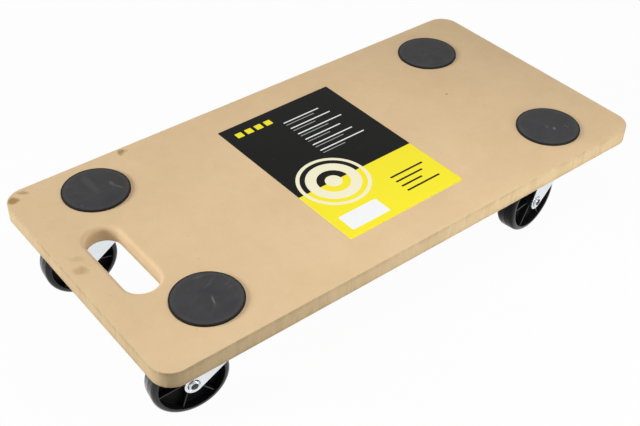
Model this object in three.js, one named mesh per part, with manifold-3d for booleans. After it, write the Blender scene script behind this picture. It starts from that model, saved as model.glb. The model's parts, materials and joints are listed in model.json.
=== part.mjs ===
// A four-wheeled transport trolley: a fibreboard deck with a hand slot at its front end, four round
// anti-slip pads and a product label on top, and a swivel caster screwed under each corner.
// Millimetres, +Z up. The origin is on the floor, under the middle of the deck, and the hand slot
// is at the -X end. Left is the -Y side, as seen by someone who pulls the trolley towards -X.
import * as THREE from "three";
import { mergeVertices } from "three/addons/utils/BufferGeometryUtils.js";
import Module from "manifold-3d";

const wasm = await Module();
wasm.setup();

// Deck board, its hand slot, and how far its sharp edges are eased
const BOARD_LENGTH = 600;
const BOARD_WIDTH = 300;
const BOARD_THICKNESS = 18;
const BOARD_CORNER_RADIUS = 22;
const BOARD_ARRIS = 0.7;
const SLOT_LENGTH = 102;
const SLOT_WIDTH = 35;
const SLOT_MARGIN = 32; // board left between the front end and the slot
const SLOT_UPPER_ROUND = 5; // radius of the slot's edge on the deck's face
const SLOT_LOWER_ROUND = 2.5; // and under the deck
const SLOT_ROUND_STEPS = 4;

// Anti-slip pads, placed by their centres from the board's ends and sides
const PAD_DIAMETER = 69;
const PAD_THICKNESS = 2;
const PAD_ARRIS = 0.5;
const PAD_INSET_X = 80.7;
const PAD_INSET_Y = 53.7;

// Product label, a stuck-on sheet that lies slightly off the middle and slightly turned
const LABEL_LENGTH = 149;
const LABEL_WIDTH = 218;
const LABEL_THICKNESS = 0.25;
const LABEL_SHIFT_X = 6.7;
const LABEL_SHIFT_Y = 1.6;
const LABEL_TURN_DEGREES = 0.75;

// Caster places: the swivel axes, from the board's ends and sides
const CASTER_INSET_X = 81;
const CASTER_INSET_Y = 48.5;
const CASTER_TRAIL = 29; // from the swivel axis back to the axle
const CROWN_CLEARANCE = 7.4; // from the top of the wheel up to the fork's crown
const RUNNING_GAP = 0.3; // between neighbouring pieces of a caster

// Kingpin, a rivet that holds the fork to the mounting plate
const KINGPIN_DIAMETER = 10;
const KINGPIN_HEAD_DIAMETER = 16;
const KINGPIN_HEAD_HEIGHT = 3;
const KINGPIN_HEAD_CLEARANCE = 0.7; // from the upper head up to the board
const KINGPIN_HEAD_ARRIS = 0.8;

// Mounting plate, pressed down in its middle into a cup that the balls run round
const PLATE_THICKNESS = 2;
const PLATE_CORNER_RADIUS = 6;
const PLATE_EDGE = 7.5; // from a screw hole's centre to the plate's edge
const CUP_WALL = 2;
const CUP_FLOOR_MARGIN = 7; // from the kingpin's head to the cup's wall

// Ball ring
const BALL_COUNT = 12;
const CAGE_WALL = 1.2;

// Fork, pressed from one sheet: a round crown with a raised rim, and two legs
const FORK_SHEET = 2;
const FORK_BEND_RADIUS = 2; // inside the bends
const FORK_RIM_WALL = 1.6;
const FORK_RIM_TOP_GAP = 1.4; // from the rim up to the plate
const FORK_CROWN_GAP = 1.6; // from the crown up to the cup
const FORK_REACH = 21.5; // the crown's front and rear edges, from the swivel axis
const FORK_EDGE_RADIUS = 3;
const FORK_SKIRT_DEPTH = 24.5; // the crown's front edge, from the crown's top down
const FORK_SKIRT_RADIUS = 6;
const FORK_LEG_RIM = 2.9; // round the seat at the leg's end
const SEAT_DEPTH = 2; // the seat pressed into each leg for the axle's head and nut
const SEAT_CLEARANCE = 0.45;

// Lower race washer, between the crown and the kingpin's lower head
const WASHER_THICKNESS = 2;
const WASHER_BEND_GAP = 0.5;

// Axle bolt, its nut, and the sleeve that the wheel turns on
const BOLT_DIAMETER = 6;
const BOLT_FLATS = 10; // across the flats of the head and of the nut
const BOLT_HEAD_HEIGHT = 4;
const BOLT_END = 0.5; // out of the nut
const NUT_HEIGHT = 3.6;
const SLEEVE_WALL = 1.2;

// Wheel, moulded in one piece with a rounded tread, a thin web and radial ribs
const WHEEL_DIAMETER = 78;
const WHEEL_WIDTH = 22;
const WHEEL_EDGE_RADIUS = 5;
const WHEEL_SIDE_CLEARANCE = 2; // from the rim to the fork's leg
const RIM_FACE = 1;
const RIM_DRAFT = 1;
const WEB_THICKNESS = 5;
const HUB_WALL = 5.2;
const HUB_DRAFT = 1;
const HUB_PLAY = 0.6; // from the hub's end to the fork's seat
const RIB_COUNT = 6;
const RIB_THICKNESS = 1.8;
const RIB_RECESS = 2; // from the rim's face down to the ribs

// Wood screws, pan headed, driven up into the board
const SCREW_DIAMETER = 4.4;
const SCREW_HEAD_DIAMETER = 9;
const SCREW_HEAD_HEIGHT = 2.6;
const SCREW_HEAD_ARRIS = 0.9;
const SCREW_TIP = 4;
const SCREW_COVER = 5; // board left above the screw's hole
const SCREW_RIM_CLEARANCE = 3.1; // from the screw's head to the fork's rim
const SCREW_PLAY = 0.4; // round the screw in the plate

// How far a cutting solid runs past what it cuts
const OVERRUN = 1;

// Corners of the trolley. The turns are how the casters were left standing, and the shifts say how
// far each hand-laid pad is off its nominal place, as shares of the pad's diameter.
const corners = [
  { name: "front_left", alongX: -1, alongY: -1, turn: -9, roll: -12, padShiftShares: [0.015, 0.058] },
  { name: "front_right", alongX: -1, alongY: 1, turn: -6, roll: 12, padShiftShares: [0, 0.089] },
  { name: "rear_left", alongX: 1, alongY: -1, turn: 7.3, roll: 0, padShiftShares: [0.01, 0] },
  { name: "rear_right", alongX: 1, alongY: 1, turn: 4, roll: -12, padShiftShares: [0.003, -0.031] },
];

// Side counts of round pieces
const PAD_SIDES = 32;
const WHEEL_SIDES = 30;
const RACE_SIDES = 20;
const SEAT_SIDES = 12;
const PIN_SIDES = 12;
const SCREW_SIDES = 8;
const HEXAGON_SIDES = 6;
const WHEEL_EDGE_STEPS = 3; // facets across the tread's rounded edge

// How far a straight facet may fall inside the round edge that it stands for
const ARC_TOLERANCE = 0.15;

// Kingpin, cup and crown levels, from the board's underside downwards
const kingpinRadius = KINGPIN_DIAMETER / 2;
const kingpinHole = kingpinRadius + RUNNING_GAP;
const kingpinHeadRadius = KINGPIN_HEAD_DIAMETER / 2;
const cupDepth = KINGPIN_HEAD_CLEARANCE + KINGPIN_HEAD_HEIGHT + RUNNING_GAP + CUP_WALL;
const cupRadius = kingpinHeadRadius + CUP_FLOOR_MARGIN + CUP_WALL;
const crownTop = -(cupDepth + FORK_CROWN_GAP);
const crownUnderside = crownTop - FORK_SHEET;

// Balls, which fill the space between the plate and the crown
const ballDiameter = -crownTop - PLATE_THICKNESS - 2 * RUNNING_GAP;
const ballRadius = ballDiameter / 2;
const ballCircle = cupRadius + RUNNING_GAP + ballRadius;
const ballLevel = -(PLATE_THICKNESS + RUNNING_GAP + ballRadius);
const rimInnerRadius = ballCircle + ballRadius + RUNNING_GAP;
const rimOuterRadius = rimInnerRadius + FORK_RIM_WALL;

// Screws stand clear of the fork's rim, on the plate's diagonals
const screwHeadRadius = SCREW_HEAD_DIAMETER / 2;
const screwOffset = (rimOuterRadius + screwHeadRadius + SCREW_RIM_CLEARANCE) * Math.SQRT1_2;
const plateHalf = screwOffset + PLATE_EDGE;

// Axle and wheel
const wheelRadius = WHEEL_DIAMETER / 2;
const axleDrop = -crownUnderside + CROWN_CLEARANCE + wheelRadius;
const casterHeight = axleDrop + wheelRadius;
const forkInner = WHEEL_WIDTH / 2 + WHEEL_SIDE_CLEARANCE;
const forkOuter = forkInner + FORK_SHEET;
const seatFloor = forkOuter - SEAT_DEPTH;
const seatInner = seatFloor - FORK_SHEET;
const hexCorner = BOLT_FLATS / 2 / Math.cos(Math.PI / HEXAGON_SIDES);
const seatRadius = hexCorner + SEAT_CLEARANCE;
const legEndRadius = seatRadius + FORK_LEG_RIM;
const boltRadius = BOLT_DIAMETER / 2;
const boltHole = boltRadius + RUNNING_GAP;
const sleeveOuter = boltHole + SLEEVE_WALL;
const wheelBore = sleeveOuter + RUNNING_GAP;

// Finishes
const fibreboard = new THREE.MeshStandardMaterial({ color: "#dcc196", roughness: 0.75, metalness: 0 });
const padRubber = new THREE.MeshStandardMaterial({ color: "#414244", roughness: 0.7, metalness: 0 });
const labelPrint = new THREE.MeshStandardMaterial({ color: "#2a2a27", roughness: 0.4, metalness: 0 });
const zincPlate = new THREE.MeshStandardMaterial({ color: "#d3d9dc", roughness: 0.3, metalness: 1 });
const wheelPlastic = new THREE.MeshStandardMaterial({ color: "#151516", roughness: 0.35, metalness: 0 });

// A closed geometry as a solid that can be joined and cut
function solidOf(geometry) {
  const loose = geometry.index ? geometry.toNonIndexed() : geometry;
  const bare = new THREE.BufferGeometry();
  bare.setAttribute("position", loose.getAttribute("position"));
  const merged = mergeVertices(bare);
  const triVerts = [];
  for (let i = 0; i < merged.index.count; i += 3) {
    const [a, b, c] = merged.index.array.subarray(i, i + 3);
    if (a !== b && b !== c && c !== a) triVerts.push(a, b, c);
  }
  const vertProperties = merged.getAttribute("position").array;
  return new wasm.Manifold(
    new wasm.Mesh({ numProp: 3, vertProperties, triVerts: new Uint32Array(triVerts) }),
  );
}

// A solid as a named mesh
function meshOf(name, solid, finish) {
  const { numProp, vertProperties, triVerts } = solid.getMesh();
  const geometry = new THREE.BufferGeometry();
  geometry.setAttribute("position", new THREE.BufferAttribute(vertProperties, numProp));
  geometry.setIndex(new THREE.BufferAttribute(triVerts, 1));
  geometry.computeVertexNormals();
  const mesh = new THREE.Mesh(geometry, finish);
  mesh.name = name;
  return mesh;
}

// Corner points of a regular polygon, counter-clockwise
function polygon(radius, sides, x = 0, y = 0, phase = 0) {
  return Array.from({ length: sides }, (_, i) => {
    const angle = phase + (2 * Math.PI * i) / sides;
    return new THREE.Vector2(x + radius * Math.cos(angle), y + radius * Math.sin(angle));
  });
}

// Outline of a belt laid round circles [x, y, radius], which are given counter-clockwise
function belt(circles) {
  const tangents = circles.map(([x, y, radius], i) => {
    const [nextX, nextY, nextRadius] = circles[(i + 1) % circles.length];
    const length = Math.hypot(nextX - x, nextY - y);
    const course = Math.atan2(nextY - y, nextX - x);
    return course - Math.PI / 2 + Math.asin((radius - nextRadius) / length);
  });
  return circles.flatMap(([x, y, radius], i) => {
    const start = tangents[(i + circles.length - 1) % circles.length];
    const sweep = THREE.MathUtils.euclideanModulo(tangents[i] - start, 2 * Math.PI);
    const facet = radius > ARC_TOLERANCE ? 2 * Math.acos(1 - ARC_TOLERANCE / radius) : sweep;
    const steps = radius > 0 ? Math.ceil(sweep / facet) : 0;
    return Array.from({ length: steps + 1 }, (_, k) => {
      const angle = start + (steps ? (sweep * k) / steps : 0);
      return new THREE.Vector2(x + radius * Math.cos(angle), y + radius * Math.sin(angle));
    });
  });
}

// Circles of a rounded rectangle about the origin, for a belt
function rectangle(halfX, halfY, radius) {
  const x = halfX - radius;
  const y = halfY - radius;
  return [[x, -y, radius], [x, y, radius], [-x, y, radius], [-x, -y, radius]];
}

// Outline pushed up along +Z from zero, with its edges eased by the arris
function extruded(outline, depth, arris = 0, holes = []) {
  const shape = new THREE.Shape(outline);
  shape.holes = holes.map((points) => new THREE.Path(points));
  const geometry = new THREE.ExtrudeGeometry(shape, {
    depth: depth - 2 * arris,
    bevelEnabled: arris > 0,
    bevelSegments: 1,
    bevelSize: arris,
    bevelOffset: -arris,
    bevelThickness: arris,
  });
  return geometry.translate(0, 0, arris);
}

// Profile [radius, height] turned round the Y axis, with a flat at the bottom unless a phase is given
function turned(profile, sides, phase = Math.PI / sides) {
  const points = profile.map(([radius, height]) => new THREE.Vector2(radius, height));
  return new THREE.LatheGeometry(points, sides, phase);
}

// The same, turned round the Z axis
function turnedUpright(profile, sides, phase) {
  return turned(profile, sides, phase).rotateX(Math.PI / 2);
}

// Profile of a tube or washer between two radii and two heights
function tubeProfile(inner, outer, low, high) {
  return [[inner, low], [outer, low], [outer, high], [inner, high], [inner, low]];
}

// Profile of a round bar between two heights
function barProfile(radius, low, high) {
  return [[0, low], [radius, low], [radius, high], [0, high]];
}

// Screw places on a mounting plate
const screwPlaces = [[1, 1], [-1, 1], [-1, -1], [1, -1]].map(([x, y]) => [x * screwOffset, y * screwOffset]);

function casterPlace({ alongX, alongY }) {
  const x = alongX * (BOARD_LENGTH / 2 - CASTER_INSET_X);
  const y = alongY * (BOARD_WIDTH / 2 - CASTER_INSET_Y);
  return [x, y];
}

// What the hand slot takes out of the board: its straight wall flares out above and below in a round
function handSlot() {
  const slotX = -BOARD_LENGTH / 2 + SLOT_MARGIN + SLOT_WIDTH / 2;
  const radius = SLOT_WIDTH / 2;
  const end = SLOT_LENGTH / 2 - radius;
  const wall = belt([[slotX, -end, radius], [slotX, end, radius]]);
  const ring = (widening, level) => wall.map(({ x, y }) => {
    const centreY = Math.sign(y) * end;
    const growth = (radius + widening) / radius;
    return [slotX + (x - slotX) * growth, centreY + (y - centreY) * growth, level];
  });
  const roundShares = Array.from({ length: SLOT_ROUND_STEPS + 1 }, (_, k) => {
    const angle = (Math.PI / 2 / SLOT_ROUND_STEPS) * k;
    return [1 - Math.sin(angle), 1 - Math.cos(angle)];
  });
  const lower = roundShares.map(([outShare, upShare]) => {
    return ring(outShare * SLOT_LOWER_ROUND, upShare * SLOT_LOWER_ROUND);
  });
  const upper = roundShares.map(([outShare, downShare]) => {
    return ring(outShare * SLOT_UPPER_ROUND, BOARD_THICKNESS - downShare * SLOT_UPPER_ROUND);
  });
  const rings = [
    ring(SLOT_LOWER_ROUND, -OVERRUN),
    ...lower,
    ...upper.reverse(),
    ring(SLOT_UPPER_ROUND, BOARD_THICKNESS + OVERRUN),
  ];
  const layers = rings.slice(1).map((above, i) => wasm.Manifold.hull([...rings[i], ...above]));
  return wasm.Manifold.union(layers);
}

// Board with its hand slot, and a blind pilot hole for each wood screw
function deckBoard() {
  const outline = belt(rectangle(BOARD_LENGTH / 2, BOARD_WIDTH / 2, BOARD_CORNER_RADIUS));
  let board = solidOf(extruded(outline, BOARD_THICKNESS, BOARD_ARRIS)).subtract(handSlot());
  const holeRadius = SCREW_DIAMETER / 2 + RUNNING_GAP;
  const holeTop = BOARD_THICKNESS - SCREW_COVER + RUNNING_GAP;
  const hole = turnedUpright(barProfile(holeRadius, -OVERRUN, holeTop), SCREW_SIDES);
  for (const corner of corners) {
    const [x, y] = casterPlace(corner);
    for (const [screwX, screwY] of screwPlaces) {
      board = board.subtract(solidOf(hole.clone().translate(x + screwX, y + screwY, 0)));
    }
  }
  return board;
}

function antiSlipPad() {
  const radius = PAD_DIAMETER / 2;
  const profile = [
    [0, 0],
    [radius, 0],
    [radius, PAD_THICKNESS - PAD_ARRIS],
    [radius - PAD_ARRIS, PAD_THICKNESS],
    [0, PAD_THICKNESS],
  ];
  return solidOf(turnedUpright(profile, PAD_SIDES));
}

function productLabel() {
  const sheet = new THREE.BoxGeometry(LABEL_LENGTH, LABEL_WIDTH, LABEL_THICKNESS);
  return solidOf(sheet.translate(0, 0, LABEL_THICKNESS / 2));
}

// Square plate with four screw holes, and its middle pressed down into a cup
function mountingPlate() {
  const outline = belt(rectangle(plateHalf, plateHalf, PLATE_CORNER_RADIUS));
  const holeRadius = SCREW_DIAMETER / 2 + SCREW_PLAY;
  const holes = screwPlaces.map(([x, y]) => polygon(holeRadius, SCREW_SIDES, x, y));
  const sheet = extruded(outline, PLATE_THICKNESS, 0, holes).translate(0, 0, -PLATE_THICKNESS);
  const cup = turnedUpright(barProfile(cupRadius, -cupDepth, 0), RACE_SIDES);
  const hollow = turnedUpright(barProfile(cupRadius - CUP_WALL, CUP_WALL - cupDepth, OVERRUN), RACE_SIDES);
  const hole = turnedUpright(barProfile(kingpinHole, -cupDepth - OVERRUN, 0), PIN_SIDES);
  return solidOf(sheet).add(solidOf(cup)).subtract(solidOf(hollow)).subtract(solidOf(hole));
}

// Steel balls held in a thin ring, whose corners lie inside the balls
function ballRing() {
  const half = CAGE_WALL / 2;
  const profile = tubeProfile(ballCircle - half, ballCircle + half, ballLevel - half, ballLevel + half);
  let ring = solidOf(turnedUpright(profile, BALL_COUNT, Math.PI / 2));
  const ball = new THREE.IcosahedronGeometry(ballRadius);
  for (const { x, y } of polygon(ballCircle, BALL_COUNT)) {
    ring = ring.add(solidOf(ball.clone().translate(x, y, ballLevel)));
  }
  return ring;
}

// Rivet with a head in the cup and a head under the race washer
function kingpin() {
  const upperSeat = CUP_WALL - cupDepth + RUNNING_GAP;
  const upperTop = upperSeat + KINGPIN_HEAD_HEIGHT;
  const lowerSeat = crownUnderside - WASHER_THICKNESS - 2 * RUNNING_GAP;
  const lowerEnd = lowerSeat - KINGPIN_HEAD_HEIGHT;
  const profile = [
    [0, lowerEnd],
    [kingpinHeadRadius - KINGPIN_HEAD_ARRIS, lowerEnd],
    [kingpinHeadRadius, lowerEnd + KINGPIN_HEAD_ARRIS],
    [kingpinHeadRadius, lowerSeat],
    [kingpinRadius, lowerSeat],
    [kingpinRadius, upperSeat],
    [kingpinHeadRadius, upperSeat],
    [kingpinHeadRadius, upperTop],
    [0, upperTop],
  ];
  return solidOf(turnedUpright(profile, PIN_SIDES));
}

function raceWasher() {
  const top = crownUnderside - RUNNING_GAP;
  const outer = forkInner - FORK_BEND_RADIUS - WASHER_BEND_GAP;
  return solidOf(turnedUpright(tubeProfile(kingpinHole, outer, top - WASHER_THICKNESS, top), RACE_SIDES));
}

// Bar along the X axis with its two upper edges rounded
function forkBar(halfWidth, top, bendRadius, bottom) {
  const reach = CASTER_TRAIL + legEndRadius + FORK_REACH;
  const section = belt([
    [halfWidth, bottom, 0],
    [halfWidth - bendRadius, top - bendRadius, bendRadius],
    [bendRadius - halfWidth, top - bendRadius, bendRadius],
    [-halfWidth, bottom, 0],
  ]);
  const bar = extruded(section, 2 * reach).rotateX(Math.PI / 2).rotateZ(Math.PI / 2);
  return solidOf(bar.translate(-reach, 0, 0));
}

// Profile turned about the axle, outwards from the fork's middle to one side
function onAxle(profile, sides, sideSign) {
  const geometry = turned(profile, sides).rotateZ(sideSign > 0 ? 0 : Math.PI);
  return solidOf(geometry.translate(-CASTER_TRAIL, 0, -axleDrop));
}

// Pressed steel fork: a bent channel cut to the legs' outline, with a round rimmed crown on top
function fork() {
  const legBottom = -axleDrop - legEndRadius - OVERRUN;
  const outside = forkBar(forkOuter, crownTop, FORK_BEND_RADIUS + FORK_SHEET, legBottom);
  const inside = forkBar(forkInner, crownUnderside, FORK_BEND_RADIUS, legBottom - OVERRUN);
  const edge = FORK_REACH - FORK_EDGE_RADIUS;
  const side = belt([
    [-CASTER_TRAIL, -axleDrop, legEndRadius],
    [FORK_REACH - FORK_SKIRT_RADIUS, crownTop - FORK_SKIRT_DEPTH + FORK_SKIRT_RADIUS, FORK_SKIRT_RADIUS],
    [edge, crownTop, FORK_EDGE_RADIUS],
    [-edge, crownTop, FORK_EDGE_RADIUS],
  ]);
  const across = 2 * (forkOuter + OVERRUN);
  const cutter = solidOf(extruded(side, across).rotateX(Math.PI / 2).translate(0, across / 2, 0));
  const rimTop = -(PLATE_THICKNESS + FORK_RIM_TOP_GAP);
  const crownProfile = [
    [0, crownUnderside],
    [rimOuterRadius - FORK_RIM_WALL, crownUnderside],
    [rimOuterRadius, crownTop],
    [rimOuterRadius, rimTop],
    [rimInnerRadius, rimTop],
    [rimInnerRadius, crownTop],
    [0, crownTop],
  ];
  let solid = outside.subtract(inside).intersect(cutter);
  solid = solid.add(solidOf(turnedUpright(crownProfile, RACE_SIDES)));
  const boss = barProfile(seatRadius + FORK_SHEET, seatInner, forkInner + FORK_SHEET / 2);
  const recess = barProfile(seatRadius, seatFloor, forkOuter + OVERRUN);
  const axleHole = barProfile(boltHole, 0, forkOuter + OVERRUN);
  for (const sideSign of [1, -1]) {
    solid = solid.add(onAxle(boss, SEAT_SIDES, sideSign));
    solid = solid.subtract(onAxle(recess, SEAT_SIDES, sideSign));
    solid = solid.subtract(onAxle(axleHole, PIN_SIDES, sideSign));
  }
  const pinHole = turnedUpright(barProfile(kingpinHole, crownUnderside - OVERRUN, 0), PIN_SIDES);
  return solid.subtract(solidOf(pinHole));
}

// Hexagon along the Y axis from one distance to another
function hexagon(from, to, holes = []) {
  const prism = extruded(polygon(hexCorner, HEXAGON_SIDES), to - from, 0, holes);
  return solidOf(prism.rotateX(Math.PI / 2).translate(0, to, 0));
}

// Bolt with its head in the right-hand seat and its end out of the nut
function axleBolt() {
  const headFrom = seatFloor + RUNNING_GAP;
  const end = -(seatFloor + RUNNING_GAP + NUT_HEIGHT + BOLT_END);
  const shank = solidOf(turned(barProfile(boltRadius, end, headFrom + BOLT_HEAD_HEIGHT / 2), PIN_SIDES));
  return shank.add(hexagon(headFrom, headFrom + BOLT_HEAD_HEIGHT));
}

function axleNut() {
  const near = -(seatFloor + RUNNING_GAP);
  return hexagon(near - NUT_HEIGHT, near, [polygon(boltHole, PIN_SIDES)]);
}

function axleSleeve() {
  const half = seatInner - RUNNING_GAP;
  return solidOf(turned(tubeProfile(boltHole, sleeveOuter, -half, half), PIN_SIDES));
}

// Moulded wheel: its tread's flats touch the true radius, so that the faceted wheel stands level
function wheel() {
  const treadRadius = wheelRadius / Math.cos(Math.PI / WHEEL_SIDES);
  const half = WHEEL_WIDTH / 2;
  const hubHalf = seatInner - HUB_PLAY;
  const hubRadius = wheelBore + HUB_WALL;
  const faceRadius = treadRadius - WHEEL_EDGE_RADIUS;
  const rimRadius = faceRadius - RIM_FACE;
  const webHalf = WEB_THICKNESS / 2;
  const edge = Array.from({ length: WHEEL_EDGE_STEPS + 1 }, (_, k) => {
    const angle = (Math.PI / 2) * (1 - k / WHEEL_EDGE_STEPS);
    const out = WHEEL_EDGE_RADIUS * Math.cos(angle);
    const up = WHEEL_EDGE_RADIUS * Math.sin(angle);
    return [faceRadius + out, half - WHEEL_EDGE_RADIUS + up];
  });
  const upper = [
    [0, hubHalf],
    [hubRadius - HUB_DRAFT, hubHalf],
    [hubRadius, webHalf],
    [rimRadius - RIM_DRAFT, webHalf],
    [rimRadius, half],
    ...edge,
  ];
  const lower = upper.map(([radius, height]) => [radius, -height]);
  let solid = solidOf(turned([...lower, ...upper.reverse()], WHEEL_SIDES));
  const ribHeight = half - RIB_RECESS;
  for (let i = 0; i < RIB_COUNT / 2; i += 1) {
    const bar = new THREE.BoxGeometry(2 * rimRadius, 2 * ribHeight, RIB_THICKNESS);
    solid = solid.add(solidOf(bar.rotateY((2 * Math.PI * i) / RIB_COUNT)));
  }
  const bore = turned(barProfile(wheelBore, -hubHalf - OVERRUN, hubHalf + OVERRUN), PIN_SIDES);
  return solid.subtract(solidOf(bore));
}

// Wood screw, from its head under the plate up to its tip in the board
function woodScrew() {
  const radius = SCREW_DIAMETER / 2;
  const seat = -(PLATE_THICKNESS + RUNNING_GAP);
  const head = seat - SCREW_HEAD_HEIGHT;
  const top = BOARD_THICKNESS - SCREW_COVER;
  const profile = [
    [0, head],
    [screwHeadRadius - SCREW_HEAD_ARRIS, head],
    [screwHeadRadius, head + SCREW_HEAD_ARRIS],
    [screwHeadRadius, seat],
    [radius, seat],
    [radius, top - SCREW_TIP],
    [0, top],
  ];
  return solidOf(turnedUpright(profile, SCREW_SIDES));
}

const solids = {
  mounting_plate: mountingPlate(),
  ball_ring: ballRing(),
  kingpin: kingpin(),
  race_washer: raceWasher(),
  fork: fork(),
  axle_bolt: axleBolt(),
  axle_nut: axleNut(),
  axle_sleeve: axleSleeve(),
  wheel: wheel(),
  screw: woodScrew(),
};

// Caster about its swivel axis, with the board's underside at height zero
function caster({ name, turn, roll }) {
  const plate = new THREE.Group();
  for (const piece of ["mounting_plate", "kingpin", "race_washer"]) {
    plate.add(meshOf(`${piece}_${name}`, solids[piece], zincPlate));
  }
  screwPlaces.forEach(([x, y], i) => {
    const screw = meshOf(`screw_${name}_${i + 1}`, solids.screw, zincPlate);
    screw.position.set(x, y, 0);
    plate.add(screw);
  });
  const swivel = new THREE.Group();
  swivel.rotation.z = THREE.MathUtils.degToRad(turn);
  for (const piece of ["fork", "ball_ring"]) {
    swivel.add(meshOf(`${piece}_${name}`, solids[piece], zincPlate));
  }
  const axle = new THREE.Group();
  axle.position.set(-CASTER_TRAIL, 0, -axleDrop);
  for (const piece of ["axle_bolt", "axle_nut", "axle_sleeve"]) {
    axle.add(meshOf(`${piece}_${name}`, solids[piece], zincPlate));
  }
  const rolling = meshOf(`wheel_${name}`, solids.wheel, wheelPlastic);
  rolling.rotation.y = THREE.MathUtils.degToRad(roll);
  axle.add(rolling);
  swivel.add(axle);
  plate.add(swivel);
  return plate;
}

const trolley = new THREE.Group();
const boardTop = casterHeight + BOARD_THICKNESS;

const board = meshOf("deck_board", deckBoard(), fibreboard);
board.position.z = casterHeight;
trolley.add(board);

const label = meshOf("product_label", productLabel(), labelPrint);
label.position.set(LABEL_SHIFT_X, LABEL_SHIFT_Y, boardTop);
label.rotation.z = THREE.MathUtils.degToRad(LABEL_TURN_DEGREES);
trolley.add(label);

const padSolid = antiSlipPad();
for (const corner of corners) {
  const { name, alongX, alongY, padShiftShares } = corner;
  const pad = meshOf(`pad_${name}`, padSolid, padRubber);
  const padX = alongX * (BOARD_LENGTH / 2 - PAD_INSET_X) + padShiftShares[0] * PAD_DIAMETER;
  const padY = alongY * (BOARD_WIDTH / 2 - PAD_INSET_Y) + padShiftShares[1] * PAD_DIAMETER;
  pad.position.set(padX, padY, boardTop);
  trolley.add(pad);

  const [x, y] = casterPlace(corner);
  const unit = caster(corner);
  unit.position.set(x, y, casterHeight);
  trolley.add(unit);
}

export default trolley;
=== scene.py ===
"""Transport trolley: a fibreboard deck with a hand slot, four anti-slip pads, a printed label and
four swivel casters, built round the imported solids. Metres, +Z up; the slot is at the -X end."""

import json
from functools import cached_property
from math import asin, atan2, cos, hypot, pi, radians, sin, tan

import bmesh
import bpy
from mathutils import Matrix, Vector
from mathutils.geometry import tessellate_polygon


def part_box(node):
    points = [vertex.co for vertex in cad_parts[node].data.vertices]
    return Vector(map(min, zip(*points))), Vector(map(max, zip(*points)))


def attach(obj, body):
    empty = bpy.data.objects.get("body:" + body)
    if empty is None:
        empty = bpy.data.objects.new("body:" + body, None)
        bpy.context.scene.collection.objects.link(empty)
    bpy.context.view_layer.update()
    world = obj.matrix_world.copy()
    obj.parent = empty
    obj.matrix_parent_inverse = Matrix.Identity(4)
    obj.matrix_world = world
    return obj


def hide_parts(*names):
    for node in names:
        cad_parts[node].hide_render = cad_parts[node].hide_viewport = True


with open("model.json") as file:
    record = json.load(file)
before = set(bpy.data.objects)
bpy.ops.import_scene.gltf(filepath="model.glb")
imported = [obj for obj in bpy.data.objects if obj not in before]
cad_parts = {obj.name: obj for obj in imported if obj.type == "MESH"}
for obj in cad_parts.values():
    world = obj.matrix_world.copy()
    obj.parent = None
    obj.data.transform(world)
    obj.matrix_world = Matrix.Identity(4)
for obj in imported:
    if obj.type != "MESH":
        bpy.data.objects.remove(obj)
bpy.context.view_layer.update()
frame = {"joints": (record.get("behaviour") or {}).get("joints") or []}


# Camera
# It stands off the trolley's front left corner and looks down on the deck, turned by about a
# degree. Its place and lens come from the deck's corners, slot, pads and wheels.
CAMERA_PLACE = (-0.56689, -0.67405, 0.76998)
CAMERA_AZIMUTH = -0.684852
CAMERA_ELEVATION = 0.691900
CAMERA_ROLL = 0.019069
CAMERA_LENS = 59.7752
CAMERA_SENSOR = 36.0


def added(name, data):
    """An object of this data in the scene."""
    made = bpy.data.objects.new(name, data)
    bpy.context.collection.objects.link(made)
    return made


camera_data = bpy.data.cameras.new("camera")
camera_data.lens = CAMERA_LENS
camera_data.sensor_width = CAMERA_SENSOR
camera_data.sensor_fit = "HORIZONTAL"
camera = added("camera", camera_data)
pose = Matrix.Translation(CAMERA_PLACE)
for angle, axis in ((CAMERA_AZIMUTH, "Z"), (pi / 2 - CAMERA_ELEVATION, "X"), (CAMERA_ROLL, "Z")):
    pose @= Matrix.Rotation(angle, 4, axis)
camera.matrix_world = pose
bpy.context.scene.camera = camera


# Deck board
# An 18 mm medium-density fibreboard panel, sawn to size with round corners and a routed hand
# slot. Its faces are sanded and pale, its cut edges are browner and show the saw's fine marks.
BOARD_CORNER = 0.022
BOARD_ARRIS = 0.0007
SLOT_UPPER_ROUND = 0.005
SLOT_LOWER_ROUND = 0.0025
SLOT_CENTRE_X = -0.2505
SLOT_HALF_LENGTH = 0.051
SLOT_HALF_WIDTH = 0.0175
MERGE_WITHIN = 1e-7
CORNER_STEPS = 24
ARRIS_STEPS = 8
QUARTERS = ((1, 1), (-1, 1), (-1, -1), (1, -1))
FACE_PALE = (0.757, 0.558, 0.334)
FACE_DEEP = (0.652, 0.465, 0.262)
FACE_FLECK = (0.330, 0.215, 0.110)
FACE_FIBRE = (0.860, 0.690, 0.480)
EDGE_CORE = (0.640, 0.480, 0.278)
EDGE_SKIN = (0.415, 0.292, 0.156)
EDGE_BAND = (0.740, 0.580, 0.340)
# Lighter band along the arrises: partly wear, partly a painted highlight
EDGE_WEAR_AND_HIGHLIGHT = (0.820, 0.630, 0.400)
STAIN_BROWN = (0.300, 0.170, 0.050)
# Stains from handling, all aslant: place, half length, half width and strength
STAIN_SLANT = radians(-38)
BOARD_STAINS = (
    (-0.2915, 0.1370, 0.0064, 0.0050, 0.80),
    (-0.2784, 0.1428, 0.0060, 0.0022, 0.52),
    (-0.1672, 0.1418, 0.0034, 0.0050, 0.72),
    (-0.1629, 0.1418, 0.0032, 0.0028, 0.26),
    (-0.2883, 0.0080, 0.0072, 0.0056, 0.32),
    (-0.2872, 0.0072, 0.0012, 0.0048, 0.16),
    (-0.2838, 0.0247, 0.0080, 0.0040, 0.18),
    (0.1781, 0.0175, 0.0015, 0.0014, 0.80),
)


def reckoned(operation, reflected=False):
    """A step of a Wire: one Math node that takes the wire and any other values."""

    def step(self, *others):
        values = (*others, self) if reflected else (self, *others)
        return self.finish.node("Math", {"operation": operation}, dict(enumerate(values)))

    return step


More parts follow.
